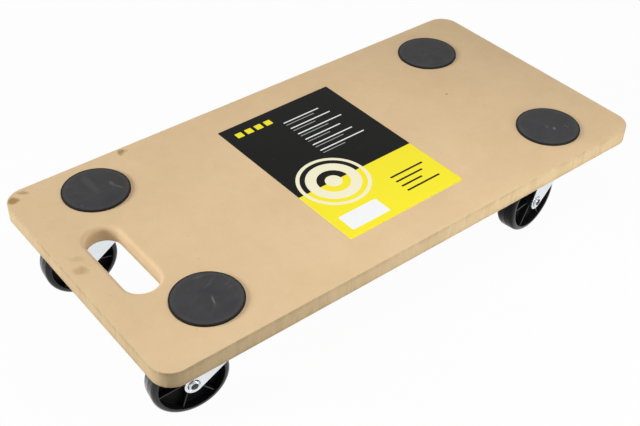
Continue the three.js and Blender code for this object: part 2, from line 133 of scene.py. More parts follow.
class Wire:
    """A value on its way through a finish, which adds Math nodes as it is reckoned with."""

    def __init__(self, finish, socket):
        self.finish = finish
        self.socket = socket

    __add__, __radd__ = reckoned("ADD"), reckoned("ADD", reflected=True)
    __sub__, __rsub__ = reckoned("SUBTRACT"), reckoned("SUBTRACT", reflected=True)
    __mul__, __rmul__ = reckoned("MULTIPLY"), reckoned("MULTIPLY", reflected=True)
    __truediv__ = reckoned("DIVIDE")
    __abs__ = reckoned("ABSOLUTE")
    at_least = reckoned("MAXIMUM")
    root = reckoned("SQRT")

    def hypot(self, other):
        return (self * self + other * other).root()

    def rising(self, low, high):
        """0 below low and 1 above high, with a smooth step between; falls where low > high."""
        sockets = {"Value": self, "From Min": low, "From Max": high}
        return self.finish.node("MapRange", {"interpolation_type": "SMOOTHSTEP"}, sockets)


def wired(tree, kind, settings, sockets):
    """The outputs of a new node with these settings, its sockets linked or set."""
    made = tree.nodes.new(kind)
    for name, value in settings.items():
        setattr(made, name, value)
    for key, value in sockets.items():
        for one in value if isinstance(value, list) else [value]:
            if isinstance(one, bpy.types.NodeSocket):
                tree.links.new(one, made.inputs[key])
            else:
                made.inputs[key].default_value = one
    return made.outputs


class Finish:
    """A surface finish: a material, or the world, whose nodes lead to one shader."""

    def __init__(self, name, owners=bpy.data.materials, shader="Principled BSDF", **constants):
        self.holder = owners.new(name)
        self.holder.use_nodes = True
        self.tree = self.holder.node_tree
        self.shader = self.tree.nodes[shader]
        for socket, value in constants.items():
            self.shader.inputs[socket.replace("_", " ")].default_value = value

    def node(self, kind, settings, sockets, output=0):
        sockets = {key: value.socket if isinstance(value, Wire) else value for key, value in sockets.items()}
        return Wire(self, wired(self.tree, "ShaderNode" + kind, settings, sockets)[output])

    @cached_property
    def place(self):
        return self.node("TexCoord", {}, {}, "Object")

    def painted(self, name):
        return self.node("Attribute", {"attribute_name": name}, {}, "Fac")

    def axes(self, vector):
        parts = wired(self.tree, "ShaderNodeSeparateXYZ", {}, {0: vector.socket})
        return [Wire(self, part) for part in parts]

    def noise(self, scale, detail, roughness, warp=0, stretch=None):
        vector = self.place
        if stretch:
            vector = self.node("VectorMath", {"operation": "MULTIPLY"}, {0: vector, 1: stretch})
        sockets = {"Scale": scale, "Detail": detail, "Roughness": roughness, "Distortion": warp}
        return self.node("TexNoise", {}, {"Vector": vector, **sockets})

    def off_mark(self, x, y, middle, halves, slant, wander=0.0):
        """How far each point lies from the middle of an oblong mark: 1 at its rim."""
        lengthwise, crosswise = cos(slant), sin(slant)
        off_x, off_y = x - middle[0], y - middle[1]
        off_length = (off_x * lengthwise + off_y * crosswise + wander) / halves[0]
        off_width = (off_y * lengthwise - off_x * crosswise - wander) / halves[1]
        return off_length.hypot(off_width)

    def coated(self, colour, coats):
        """A colour with others laid over it, each by its share."""
        settings = {"data_type": "RGBA", "clamp_factor": True}
        for share, coat in coats:
            below, above = (c if isinstance(c, Wire) else (*c, 1.0) for c in (colour, coat))
            colour = self.node("Mix", settings, {0: share, 6: below, 7: above}, 2)
        return colour

    def surface(self, **wires):
        for socket, wire in wires.items():
            self.tree.links.new(wire.socket, self.shader.inputs[socket.replace("_", " ")])
        return self.holder

    def relief(self, height, depth, strength):
        sockets = {"Height": height, "Distance": depth, "Strength": strength}
        return self.node("Bump", {}, sockets)


def fibreboard_face():
    finish = Finish("fibreboard_face", Specular_IOR_Level=0.16)
    x, y, _ = finish.axes(finish.place)
    cloud = finish.noise(11, 4, 0.55)
    patch = finish.noise(55, 4, 0.6, 0.6)
    fibre = finish.noise(900, 4, 0.65, 0.8, stretch=(1, 1.7, 1))
    grit = finish.noise(2600, 2, 0.6)
    fleck = finish.noise(420, 2, 0.5).rising(0.71, 0.78)
    hair = finish.noise(6, 3, 0.6, 1.2, stretch=(60, 9, 1)).rising(0.66, 0.76)
    depth = (cloud - 0.5) * 1.1 + (patch - 0.5) * 0.7 + (fibre - 0.5) * 0.8 + 0.34
    coats = [(depth, FACE_DEEP), (hair * 0.22, FACE_FIBRE), (fleck * 0.38, FACE_FLECK)]
    wander = (patch - 0.5) * 0.010
    for *middle, half_length, half_width, strength in BOARD_STAINS:
        off_mark = finish.off_mark(x, y, middle, (half_length, half_width), STAIN_SLANT, wander)
        stain = off_mark.rising(1.35, 0.55) * strength
        coats.append((stain * (0.7 + fibre * 0.6), STAIN_BROWN))
    return finish.surface(
        Base_Color=finish.coated(FACE_PALE, coats),
        Roughness=0.52 + fibre * 0.22,
        Normal=finish.relief(fibre * 0.6 + grit * 0.4 - fleck * 0.5, 0.00012, 0.6),
    )


def fibreboard_edge():
    finish = Finish("fibreboard_edge", Specular_IOR_Level=0.2)
    _, _, z = finish.axes(finish.place)
    low, high = (corner.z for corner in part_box("deck_board"))
    middle = (low + high) / 2
    off_middle = abs(z - middle) / (high - low) * 2
    cloud = finish.noise(26, 4, 0.6)
    kerf = finish.noise(620, 3, 0.6, stretch=(1, 1, 0.035))
    chatter = finish.noise(130, 2, 0.5, stretch=(1, 1, 0.02))
    band = finish.noise(190, 3, 0.6, 0.4, stretch=(1, 1, 0.12))
    fibre = finish.noise(1300, 3, 0.7, stretch=(1, 1, 2.2))
    patch = finish.noise(62, 3, 0.6, 0.6, stretch=(1, 1, 0.25))
    skin = off_middle.rising(0.35, 0.92) + (cloud - 0.5) * 1.3 + patch.rising(0.42, 0.60) * 0.7 - 0.32
    coats = (
        (skin * 0.4 + (kerf - 0.5) * 0.7 + (fibre - 0.5) * 0.4, EDGE_SKIN),
        (band.rising(0.50, 0.72) * 0.42, EDGE_BAND),
        # The arrises are painted lighter: partly wear, partly a painted highlight
        (off_middle.rising(0.955, 0.995) * (0.15 + cloud * 0.5), EDGE_WEAR_AND_HIGHLIGHT),
    )
    height = kerf * 0.55 + chatter * 0.7 + fibre * 0.35
    return finish.surface(
        Base_Color=finish.coated(EDGE_CORE, coats),
        Roughness=0.78 + fibre * 0.15,
        Normal=finish.relief(height, 0.0003, 0.75),
    )


def rounded_outline(half_x, half_y, radius, centre_x=0.0):
    """Points of a rounded rectangle, counter-clockwise from its +X side."""
    points = []
    for quarter, (side_x, side_y) in enumerate(QUARTERS):
        for step in range(CORNER_STEPS + 1):
            angle = pi / 2 * (quarter + step / CORNER_STEPS)
            x = centre_x + side_x * (half_x - radius) + radius * cos(angle)
            y = side_y * (half_y - radius) + radius * sin(angle)
            points.append((x, y))
    return points


def walled(mesh, levels, finish_index=0):
    """A wall through a stack of (outline, height) levels; gives back its first and last ring."""
    rings = [[mesh.verts.new((x, y, z)) for x, y in outline] for outline, z in levels]
    for lower, upper in zip(rings, rings[1:]):
        for i in range(len(lower)):
            face = mesh.faces.new((lower[i - 1], lower[i], upper[i], upper[i - 1]))
            face.material_index = finish_index
            face.smooth = True
    return rings[0], rings[-1]


def cap_between(mesh, rings):
    """Flat cap inside the first ring and round the others."""
    points = [point for ring in rings for point in ring]
    for corners in tessellate_polygon([[point.co for point in ring] for ring in rings]):
        mesh.faces.new([points[i] for i in corners])


def mesh_data(mesh):
    data = bpy.data.meshes.new("piece")
    mesh.to_mesh(data)
    mesh.free()
    return data


def closed_mesh(mesh, turn=Matrix()):
    """A closed bmesh as mesh data, turned into place, with its faces outwards."""
    mesh.transform(turn)
    bmesh.ops.remove_doubles(mesh, verts=mesh.verts, dist=MERGE_WITHIN)
    bmesh.ops.recalc_face_normals(mesh, faces=mesh.faces)
    return mesh_data(mesh)


def fitted(name, data, finishes, body, nodes, sharp_from=40, place=Matrix()):
    """A finished piece at its place: it rides on a body and stands for CAD nodes."""
    data = data.copy()
    data.name = name
    data.transform(place)
    for index, finish in enumerate(finishes):
        if index < len(data.materials):
            data.materials[index] = finish
        else:
            data.materials.append(finish)
    data.set_sharp_from_angle(angle=radians(sharp_from))
    piece = added(name, data)
    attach(piece, body)
    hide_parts(*nodes)


board_low, board_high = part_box("deck_board")
edge_levels = []
slot_levels = []
for z, fall, slot_round in ((board_high.z, -1, SLOT_UPPER_ROUND), (board_low.z, 1, SLOT_LOWER_ROUND)):
    steps = range(ARRIS_STEPS + 1)
    for step in steps if fall < 0 else reversed(steps):
        angle = pi / 2 * step / ARRIS_STEPS
        inset, drop = 1 - sin(angle), 1 - cos(angle)
        cut = inset * BOARD_ARRIS
        outline = rounded_outline(board_high.x - cut, board_high.y - cut, BOARD_CORNER - cut)
        edge_levels.append((outline, z + fall * drop * BOARD_ARRIS))
        half = SLOT_HALF_WIDTH + inset * slot_round
        outline = rounded_outline(half, SLOT_HALF_LENGTH + inset * slot_round, half, SLOT_CENTRE_X)
        slot_levels.append((outline, z + fall * drop * slot_round))
board_mesh = bmesh.new()
edge_ends = walled(board_mesh, edge_levels, 1)
slot_ends = walled(board_mesh, slot_levels)
for rings in zip(edge_ends, slot_ends):
    cap_between(board_mesh, rings)
board_finishes = (fibreboard_face(), fibreboard_edge())
fitted("fibreboard_deck", closed_mesh(board_mesh), board_finishes, "deck", ("deck_board",))


# Anti-slip pads
# Four round pads punched from charcoal rubber sheet and glued on over the casters, each a
# little off its place. The face is satin with a fine grain and a painted sheen in a ring, and
# its cut rim and side are painted near black as painted shade along the lip.
PAD_EASE = 0.0005
PAD_STEPS = 128
EASE_STEPS = 4
PAD_FACE = (0.040, 0.040, 0.042)
# Lighter, worn rubber, also painted as a sheen in a ring inside the rim
PAD_FACE_WORN_AND_SHEEN = (0.062, 0.062, 0.064)
# Near black, painted on the rim and side as painted shade
PAD_RIM_SHADE = (0.012, 0.010, 0.009)
PAD_DUST = (0.260, 0.255, 0.240)
# Pale scuffs: place, half length, half width, turn in degrees and strength
PAD_SCUFFS = (
    (-0.2156, -0.0983, 0.0054, 0.0010, -108, 0.42),
    (-0.2095, -0.0659, 0.0054, 0.0012, -8, 0.13),
    (-0.2024, 0.1010, 0.0041, 0.0020, -83, 0.22),
    (-0.1995, 0.0927, 0.0061, 0.0012, -62, 0.20),
    (-0.2201, 0.1128, 0.0156, 0.0044, -90, 0.08),
    (0.2217, -0.1036, 0.0016, 0.0025, -37, 0.42),
    (0.2177, -0.0966, 0.0019, 0.0031, -37, 0.11),
    (0.2347, -0.1076, 0.0010, 0.0014, -37, 0.25),
    (0.2354, -0.1105, 0.0008, 0.0012, -37, 0.25),
)
CORNERS = ("front_left", "front_right", "rear_left", "rear_right")


def eased(corners, steps, closed=False):
    """A profile of (radius, height) corners; one with a third value is rounded by that much."""
    points = []
    count = len(corners)
    for i, (radius, height, *ease) in enumerate(corners):
        if not ease or (not closed and i in (0, count - 1)):
            points.append((radius, height))
            continue
        here, ease = Vector((radius, height)), ease[0]
        back = (Vector(corners[i - 1][:2]) - here).normalized()
        ahead = (Vector(corners[(i + 1) % count][:2]) - here).normalized()
        half = back.angle(ahead) / 2
        centre = here + (back + ahead).normalized() * ease / sin(half)
        start = here + back * ease / tan(half) - centre
        end = here + ahead * ease / tan(half) - centre
        sweep = start.angle_signed(end)
        for step in range(steps + 1):
            angle = -sweep * step / steps
            turned_x = start.x * cos(angle) - start.y * sin(angle)
            turned_y = start.x * sin(angle) + start.y * cos(angle)
            points.append((centre.x + turned_x, centre.y + turned_y))
    return points


def round_outline(radius, steps, x=0.0, y=0.0, lead=0.0):
    turns = [lead + 2 * pi * i / steps for i in range(steps)]
    return [(x + radius * cos(turn), y + radius * sin(turn)) for turn in turns]


def turned(mesh, profile, steps, closed=False):
    """A profile of (radius, height) points turned about +Z; gives back its first and last ring."""
    rings = []
    for radius, height in profile:
        outline = round_outline(radius, steps) if radius else [(0, 0)]
        rings.append([mesh.verts.new((x, y, height)) for x, y in outline])
    following = rings[1:] + rings[:1] if closed else rings[1:]
    for pair in zip(rings, following):
        for i in range(steps):
            corners = [ring[k % len(ring)] for ring, ks in zip(pair, ((i, i + 1), (i + 1, i))) for k in ks]
            face = mesh.faces.new(list(dict.fromkeys(corners)))
            face.smooth = True
    return rings[0], rings[-1]


def lathed(corners, steps, turn=Matrix(), ease_steps=EASE_STEPS, closed=False):
    """A closed mesh turned from an eased profile, then turned into place."""
    mesh = bmesh.new()
    turned(mesh, eased(corners, ease_steps, closed), steps, closed)
    return closed_mesh(mesh, turn)


def at_corners(places, *pieces):
    """The same pieces at each corner; a body's name that ends in _ gets the corner's."""
    for corner in CORNERS:
        for name, data, finishes, body, slot, node, sharp_from in pieces:
            own_body = body + corner if body.endswith("_") else body
            nodes = (node + corner,)
            fitted(name + corner, data, finishes, own_body, nodes, sharp_from, places[corner])


def map_flat(data):
    """Lays the mesh's own X and Y, in metres, over it as its UV map."""
    layer = data.uv_layers.new(name="flat")
    for loop, spot in zip(data.loops, layer.data):
        spot.uv = data.vertices[loop.vertex_index].co.xy


def pad_rubber(radius):
    finish = Finish("pad_rubber", Specular_IOR_Level=0.12)
    u, v, _ = finish.axes(finish.node("TexCoord", {}, {}, "UV"))
    x, y, _ = finish.axes(finish.place)
    out = u.hypot(v) / radius
    grain = finish.noise(2200, 3, 0.65)
    cloud = finish.noise(45, 4, 0.6, 0.5)
    rub = finish.noise(1, 3, 0.55, 1.5, stretch=(26, 75, 1)).rising(0.60, 0.76)
    fluff = finish.noise(520, 2, 0.5).rising(0.74, 0.80)
    # A ring inside the rim is painted lighter: a painted sheen
    ring = out.rising(0.80, 0.90) * out.rising(0.965, 0.93)
    worn_and_sheen = (cloud - 0.5) * 1.4 + 0.25 + ring * 0.35
    coats = [(worn_and_sheen, PAD_FACE_WORN_AND_SHEEN), (rub * 0.10 + fluff * 0.25, PAD_DUST)]
    for *middle, half_length, half_width, turn, strength in PAD_SCUFFS:
        off_mark = finish.off_mark(x, y, middle, (half_length, half_width), radians(turn))
        coats.append((off_mark.rising(1.5, 0.3) * strength, PAD_DUST))
    # The outer rim and side are painted near black: painted shade along the lip
    coats.append((out.rising(0.940, 0.972), PAD_RIM_SHADE))
    return finish.surface(
        Base_Color=finish.coated(PAD_FACE, coats),
        Roughness=0.50 + cloud * 0.16 + grain * 0.10 - rub * 0.08,
        Normal=finish.relief(grain * 0.8 + cloud * 0.6, 0.00008, 0.7),
    )


pad_places = {}
for corner in CORNERS:
    low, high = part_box("pad_" + corner)
    pad_places[corner] = Matrix.Translation(((low.x + high.x) / 2, (low.y + high.y) / 2, low.z))
pad_radius, pad_thickness = (high.x - low.x) / 2, high.z - low.z
pad_data = lathed((
    (0, 0),
    (pad_radius, 0),
    (pad_radius, pad_thickness, PAD_EASE),
    (0, pad_thickness),
), PAD_STEPS)
map_flat(pad_data)
pad_finish = pad_rubber(pad_radius)
at_corners(pad_places, ("rubber_pad_", pad_data, (pad_finish,), "deck", "pad_rubber", "pad_", 40))


# Label
# A printed film label stuck to the middle of the deck, not quite square to it. Its plain
# design has a black field, a yellow foot, cream rings, thin pale bars and a white panel.
LABEL_HALF_X = 0.0745
LABEL_HALF_Y = 0.109
LABEL_CORNER = 0.0012
LABEL_EASE = 0.00008
LABEL_SHIFT = (0.0067, 0.0016)
LABEL_TURN = radians(0.75)
LABEL_FOOT = -0.030
PRINT_EDGE = 0.00012
PRINT_BLACK = (0.0060, 0.0063, 0.0056)
PRINT_YELLOW = (0.920, 0.800, 0.035)
PRINT_CREAM = (0.900, 0.850, 0.620)
PRINT_WHITE = (0.880, 0.890, 0.890)
PRINT_GREY = (0.420, 0.430, 0.420)
RINGS_CENTRE = (-0.030, -0.030)
# Outer and inner radius of two rings and a dot, which has no inside
RING_BANDS = ((0.0385, 0.0345), (0.0290, 0.0175), (0.009, -1))
# Bars: left end, centre Y, half length along X, half width along Y and corner radius
BARS_LEFT = -0.008
BAR_PITCH = 0.0125
PALE_BARS = [(BARS_LEFT, 0.018 + BAR_PITCH * k, 0.030 - 0.003 * (k % 3), 0.0008, 0.0006) for k in range(6)]
GREY_BARS = [(BARS_LEFT, 0.0132 + BAR_PITCH * k, 0.015 + 0.004 * (k % 2), 0.0005, 0.0004) for k in range(6)]
YELLOW_TILES = [(-0.0622 + BAR_PITCH * k, 0.092, 0.0042, 0.0042, 0.0008) for k in range(4)]
WHITE_PANEL = (-0.064, -0.0885, 0.024, 0.0115, 0.0022)
BLACK_BARS = [(0.018, -0.062 - 0.0085 * k, 0.022 - 0.004 * (k % 3), 0.0012, 0.0009) for k in range(4)]


def label_print():
    finish = Finish("label_print", Specular_IOR_Level=0.06)
    u, v, _ = finish.axes(finish.node("TexCoord", {}, {}, "UV"))

    def within(distance, limit):
        return distance.rising(limit + PRINT_EDGE, limit - PRINT_EDGE)

    def panel(left, centre_v, half_u, half_v, corner):
        out_u = (abs(u - (left + half_u)) - (half_u - corner)).at_least(0.0)
        out_v = (abs(v - centre_v) - (half_v - corner)).at_least(0.0)
        return within(out_u.hypot(out_v), corner)

    reach = (u - RINGS_CENTRE[0]).hypot(v - RINGS_CENTRE[1])
    coats = [(within(v, LABEL_FOOT), PRINT_YELLOW)]
    for outer, inner in RING_BANDS:
        coats.append((within(reach, outer) * (1 - within(reach, inner)), PRINT_CREAM))
    for bars, ink in (
        (PALE_BARS, PRINT_WHITE), (GREY_BARS, PRINT_GREY), (YELLOW_TILES, PRINT_YELLOW),
        (BLACK_BARS, PRINT_BLACK), ((WHITE_PANEL,), PRINT_WHITE),
    ):
        coats += [(panel(*bar), ink) for bar in bars]
    dots = finish.noise(5200, 1, 0.5)
    wave = finish.noise(18, 3, 0.5, 0.4)
    scuff = finish.noise(1, 4, 0.6, 2, stretch=(14, 90, 1)).rising(0.64, 0.80)
    coats.append(((dots - 0.5) * 0.04 + scuff * 0.04, PRINT_GREY))
    return finish.surface(
        Base_Color=finish.coated(PRINT_BLACK, coats),
        Roughness=0.30 + wave * 0.14 + scuff * 0.22,
        Normal=finish.relief(wave * 0.9 + dots * 0.02, 0.0009, 0.35),
    )


def stacked(levels, turn=Matrix()):
    """A closed mesh through a stack of (outline, height) levels, turned into place."""
    mesh = bmesh.new()
    for ring in walled(mesh, levels):
        cap_between(mesh, (ring,))
    return closed_mesh(mesh, turn)


label_low, label_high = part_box("product_label")
thickness = label_high.z - label_low.z
label_data = stacked([
    (rounded_outline(LABEL_HALF_X - inset, LABEL_HALF_Y - inset, LABEL_CORNER), z)
    for inset, z in ((0, 0), (0, thickness - LABEL_EASE), (LABEL_EASE, thickness))
])
map_flat(label_data)
label_data.transform(Matrix.Translation((*LABEL_SHIFT, label_low.z)) @ Matrix.Rotation(LABEL_TURN, 4, "Z"))
fitted("printed_label", label_data, (label_print(),), "deck", ("product_label",))


# Mounting plates
# A square plate of 2 mm zinc-plated steel for each caster, its middle pressed down into a cup
# that the upper ball track runs round, with a hole near each corner for a wood screw.
PLATE_CORNER = 0.006
PLATE_EDGE_EASE = 0.0003
PLATE_SCREW_OFFSET = 0.022486
PLATE_HOLE = 0.0026
PLATE_SHEET = 0.002
CUP_RADIUS = 0.017
CUP_DEPTH = 0.006
CUP_OUTER_BEND = 0.0024
CUP_INNER_BEND = 0.0008
KINGPIN_HOLE = 0.0053
ZINC = (0.830, 0.855, 0.870)
ZINC_BLUE = (0.670, 0.730, 0.780)
ZINC_DULL = (0.560, 0.570, 0.570)
# Dark specks in the zinc, and the painted shade laid in the fork seats' recesses
ZINC_SPECK_AND_SHADE = (0.200, 0.200, 0.205)
HOLE_STEPS = 32
CUP_STEPS = 96
CUP_BEND_STEPS = 6


def zinc_plating(name, scale=1.0, dullness=0.0):
    finish = Finish(name, Specular_IOR_Level=0.5)
    cloud = finish.noise(60 * scale, 4, 0.6, 0.8)
    spangle = finish.noise(240 * scale, 3, 0.6)
    drawn = finish.noise(1500 * scale, 3, 0.6, stretch=(1, 1, 0.08))
    scratch = finish.noise(900, 2, 0.5, 0.6, stretch=(0.12, 1, 1)).rising(0.68, 0.74)
    speck = finish.noise(900, 2, 0.5).rising(0.74, 0.80)
    # The seat attribute darkens the zinc inside the fork seats' recesses: painted shade standing in for the
    # recess's shadow
    grime = finish.painted("grime") * (0.7 + (cloud - 0.5) * 0.8)
    coats = (
        ((cloud - 0.5) * 0.9 + 0.30, ZINC_BLUE),
        ((spangle - 0.5) * 0.3 + dullness, ZINC_DULL),
        ((speck * 0.5).at_least(grime), ZINC_SPECK_AND_SHADE),
    )
    return finish.surface(
        Base_Color=finish.coated(ZINC, coats),
        Metallic=1.0 - speck * 0.35 - grime * 0.3,
        Roughness=0.24 + dullness * 0.4 + (spangle - 0.5) * 0.10 + (drawn - 0.5) * 0.08 + scratch * 0.12,
        Normal=finish.relief(drawn * 0.5 + cloud * 0.5 - scratch * 0.4, 0.00005, 0.5),
    )


joints = {joint["name"]: joint for joint in frame["joints"]}
pin_places = {corner: Matrix.Translation(joints["swivel_" + corner]["pos_m"]) for corner in CORNERS}
plate_low, plate_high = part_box("mounting_plate_" + CORNERS[0])
plate_half = (plate_high.x - plate_low.x) / 2
plate_mesh = bmesh.new()
openings = [walled(plate_mesh, [
    (rounded_outline(plate_half - inset, plate_half - inset, PLATE_CORNER - inset), z)
    for inset, z in (
        (PLATE_EDGE_EASE, 0),
        (0, -PLATE_EDGE_EASE),
        (0, PLATE_EDGE_EASE - PLATE_SHEET),
        (PLATE_EDGE_EASE, -PLATE_SHEET),
    )
])]
for side_x, side_y in QUARTERS:
    hole = round_outline(PLATE_HOLE, HOLE_STEPS, side_x * PLATE_SCREW_OFFSET, side_y * PLATE_SCREW_OFFSET)
    openings.append(walled(plate_mesh, ((hole, 0), (hole, -PLATE_SHEET))))
openings.append(turned(plate_mesh, eased((
    (CUP_RADIUS + CUP_OUTER_BEND, 0),
    (CUP_RADIUS - PLATE_SHEET, 0, CUP_OUTER_BEND),
    (CUP_RADIUS - PLATE_SHEET, PLATE_SHEET - CUP_DEPTH, CUP_INNER_BEND),
    (KINGPIN_HOLE, PLATE_SHEET - CUP_DEPTH),
    (KINGPIN_HOLE, -CUP_DEPTH),
    (CUP_RADIUS, -CUP_DEPTH, CUP_OUTER_BEND),
    (CUP_RADIUS, -PLATE_SHEET, CUP_INNER_BEND),
    (CUP_RADIUS + CUP_OUTER_BEND, -PLATE_SHEET),
), CUP_BEND_STEPS), CUP_STEPS))
for rings in zip(*openings):
    cap_between(plate_mesh, rings)
plate_data, plate_finish = closed_mesh(plate_mesh), zinc_plating("plate_zinc")
plate = ("caster_plate_", plate_data, (plate_finish,), "deck", "zinc_plate", "mounting_plate_", 40)
at_corners(pin_places, plate)


# Wood screws
# Pan-headed wood screws with a cross recess, four through each plate into the deck, all driven
# from below. They are zinc plated too, a little duller than the plates.
SCREW_HEAD_RADIUS = 0.0045
SCREW_HEAD_LOW = -0.0049
SCREW_HEAD_SEAT = -0.0023
SCREW_HEAD_ROUND = 0.0016
SCREW_SEAT_EASE = 0.0002
SCREW_RADIUS = 0.0022
SCREW_CORE = 0.0016
SCREW_TOP = 0.013
SCREW_TIP = 0.004
SCREW_PITCH = 0.0018
SCREW_STEPS = 32
SCREW_THREAD_LOW = -0.0015
SCREW_THREAD = 0.0138
THREAD_STEPS = 20
RECESS_LENGTH = 0.0024
RECESS_WIDTH = 0.0005
RECESS_DEPTH = 0.0018
SCREW_POINT_SHARE = 0.3
CASTER_SPAN = (0.438, 0.203)


class Layout:
    """A Geometry Nodes tree with named sizes, laid over a mesh and made a plain mesh again."""

    def __init__(self, name, **sizes):
        self.tree = bpy.data.node_groups.new(name, "GeometryNodeTree")
        self.sizes = {size.replace("_", " "): value for size, value in sizes.items()}
        face = self.tree.interface
        face.new_socket("Piece", in_out="INPUT", socket_type="NodeSocketGeometry")
        for size, value in self.sizes.items():
            kind = "NodeSocketFloat" if isinstance(value, float) else "NodeSocketInt"
            face.new_socket(size, in_out="INPUT", socket_type=kind)
        face.new_socket("Pieces", in_out="OUTPUT", socket_type="NodeSocketGeometry")
        self.given = self.tree.nodes.new("NodeGroupInput").outputs
        self.result = self.tree.nodes.new("NodeGroupOutput").inputs[0]

    def node(self, kind, sockets, **settings):
        family = "ShaderNode" if kind in ("Math", "CombineXYZ") else "GeometryNode"
        return wired(self.tree, family + kind, settings, sockets)[0]

    def vector(self, x, y, z):
        return self.node("CombineXYZ", {0: x, 1: y, 2: z})

    def repeated(self, piece, points, **sockets):
        return self.node("InstanceOnPoints", {"Points": points, "Instance": piece, **sockets})

    def raised(self, pieces, height):
        return self.node("Transform", {"Geometry": pieces, "Translation": self.vector(0.0, 0.0, height)})

    def finish(self, pieces, material):
        real = self.node("RealizeInstances", {0: pieces})
        done = self.node("SetMaterial", {"Geometry": real, "Material": material})
        self.tree.links.new(done, self.result)

    def laid_over(self, data):
        items = [item for item in self.tree.interface.items_tree if item.in_out == "INPUT"]
        inputs = {item.identifier: self.sizes[item.name] for item in items if item.name in self.sizes}
        return modified(data, "NODES", {"node_group": self.tree}, inputs)


def modified(data, kind, settings, inputs=()):
    """The mesh as one modifier leaves it, a plain mesh again and smooth."""
    holder = added("holder", data)
    modifier = holder.modifiers.new("modifier", kind)
    for name, value in settings.items():
        setattr(modifier, name, value)
    for identifier in inputs:
        modifier[identifier] = inputs[identifier]
    bpy.context.view_layer.update()
    depsgraph = bpy.context.evaluated_depsgraph_get()
    made = bpy.data.meshes.new_from_object(holder.evaluated_get(depsgraph))
    bpy.data.objects.remove(holder)
    made.polygons.foreach_set("use_smooth", [True] * len(made.polygons))
    return made


def carved(data, *steps):
    """A closed mesh joined to, cut by or kept inside others, one after another."""
    for operation, tool in steps:
        holder = added("tool", tool)
        data = modified(data, "BOOLEAN", {"object": holder, "operation": operation, "solver": "EXACT"})
        bpy.data.objects.remove(holder)
    return data


def belt(circles, steps):
    """Outline of a belt laid round circles (x, y, radius), given counter-clockwise."""
    courses = []
    for i, (x, y, radius) in enumerate(circles):
        next_x, next_y, next_radius = circles[(i + 1) % len(circles)]
        length = hypot(next_x - x, next_y - y)
        course = atan2(next_y - y, next_x - x)
        courses.append(course - pi / 2 + asin((radius - next_radius) / length))
    outline = []
    for i, (x, y, radius) in enumerate(circles):
        sweep = (courses[i] - courses[i - 1]) % (2 * pi)
        count = max(2, round(steps * sweep / pi)) if radius else 0
        for k in range(count + 1):
            angle = courses[i - 1] + (sweep * k / count if count else 0)
            outline.append((x + radius * cos(angle), y + radius * sin(angle)))
    return outline


def prism(outline, low, high, turn=Matrix()):
    """A closed bar of this outline from low to high, turned into place."""
    return stacked(((outline, low), (outline, high)), turn)


def together(*pieces):
    """Several meshes as one, each keeping its finish by its place in the row."""
    mesh = bmesh.new()
    for data, finish_index in pieces:
        before = len(mesh.faces)
        mesh.from_mesh(data)
        mesh.faces.ensure_lookup_table()
        for face in mesh.faces[before:]:
            face.material_index = finish_index
            face.smooth = True
    return mesh_data(mesh)


def thread(name, core, end_radius, pitch, low, height, ridge, finish):
    """A screw thread's ridge, wound up +Z from low."""
    tree = Layout(
        name, Turns=height / pitch, Core_radius=core, End_radius=end_radius, Height=height, Ridge=ridge
    )
    given = tree.given
    path = tree.node("CurveSpiral", {
        "Resolution": THREAD_STEPS,
        "Rotations": given["Turns"],
        "Start Radius": given["Core radius"],
        "End Radius": given["End radius"],
        "Height": given["Height"],
    })
    path = tree.node("SetCurveNormal", {"Curve": path}, mode="Z_UP")
    ridge_shape = tree.node("CurvePrimitiveCircle", {"Resolution": 4, "Radius": given["Ridge"]})
    sockets = {"Curve": path, "Profile Curve": ridge_shape, "Fill Caps": True}
    tree.finish(tree.node("CurveToMesh", sockets), finish)
    made = tree.laid_over(bpy.data.meshes.new(name))
    made.transform(Matrix.Translation((0, 0, low)))
    return made


screw_finish = zinc_plating("screw_zinc", 2.0, 0.15)
screw_data = lathed((
    (0, SCREW_HEAD_LOW),
    (SCREW_HEAD_RADIUS, SCREW_HEAD_LOW, SCREW_HEAD_ROUND),
    (SCREW_HEAD_RADIUS, SCREW_HEAD_SEAT, SCREW_SEAT_EASE),
    (SCREW_CORE, SCREW_HEAD_SEAT),
    (SCREW_CORE, SCREW_TOP - SCREW_TIP),
    (0, SCREW_TOP),
), SCREW_STEPS)
for half_x, half_y in ((RECESS_LENGTH, RECESS_WIDTH), (RECESS_WIDTH, RECESS_LENGTH)):
    arm = [(side_x * half_x, side_y * half_y) for side_x, side_y in QUARTERS]
    arm_data = prism(arm, SCREW_HEAD_LOW - RECESS_DEPTH, SCREW_HEAD_LOW + RECESS_DEPTH)
    screw_data = carved(screw_data, ("DIFFERENCE", arm_data))
screw_thread = thread(
    "screw_thread", SCREW_CORE, SCREW_CORE * SCREW_POINT_SHARE, SCREW_PITCH, SCREW_THREAD_LOW,
    SCREW_THREAD, SCREW_RADIUS - SCREW_CORE, screw_finish,
)

screws = Layout(
    "screw_places",
    Screw_spacing=2 * PLATE_SCREW_OFFSET,
    Caster_spacing_X=CASTER_SPAN[0],
    Caster_spacing_Y=CASTER_SPAN[1],
    Height=board_low.z,
)
given = screws.given
pieces = given["Piece"]
for size_x, size_y in (("Screw spacing", "Screw spacing"), ("Caster spacing X", "Caster spacing Y")):
    sockets = {"Size X": given[size_x], "Size Y": given[size_y], "Vertices X": 2, "Vertices Y": 2}
    pieces = screws.repeated(pieces, screws.node("MeshGrid", sockets))
screws.finish(screws.raised(pieces, given["Height"]), screw_finish)
screws_data = screws.laid_over(together((screw_data, 0), (screw_thread, 0)))
screw_nodes = [f"screw_{corner}_{number}" for corner in CORNERS for number in (1, 2, 3, 4)]
fitted("wood_screws", screws_data, (screw_finish,), "deck", screw_nodes, 35)


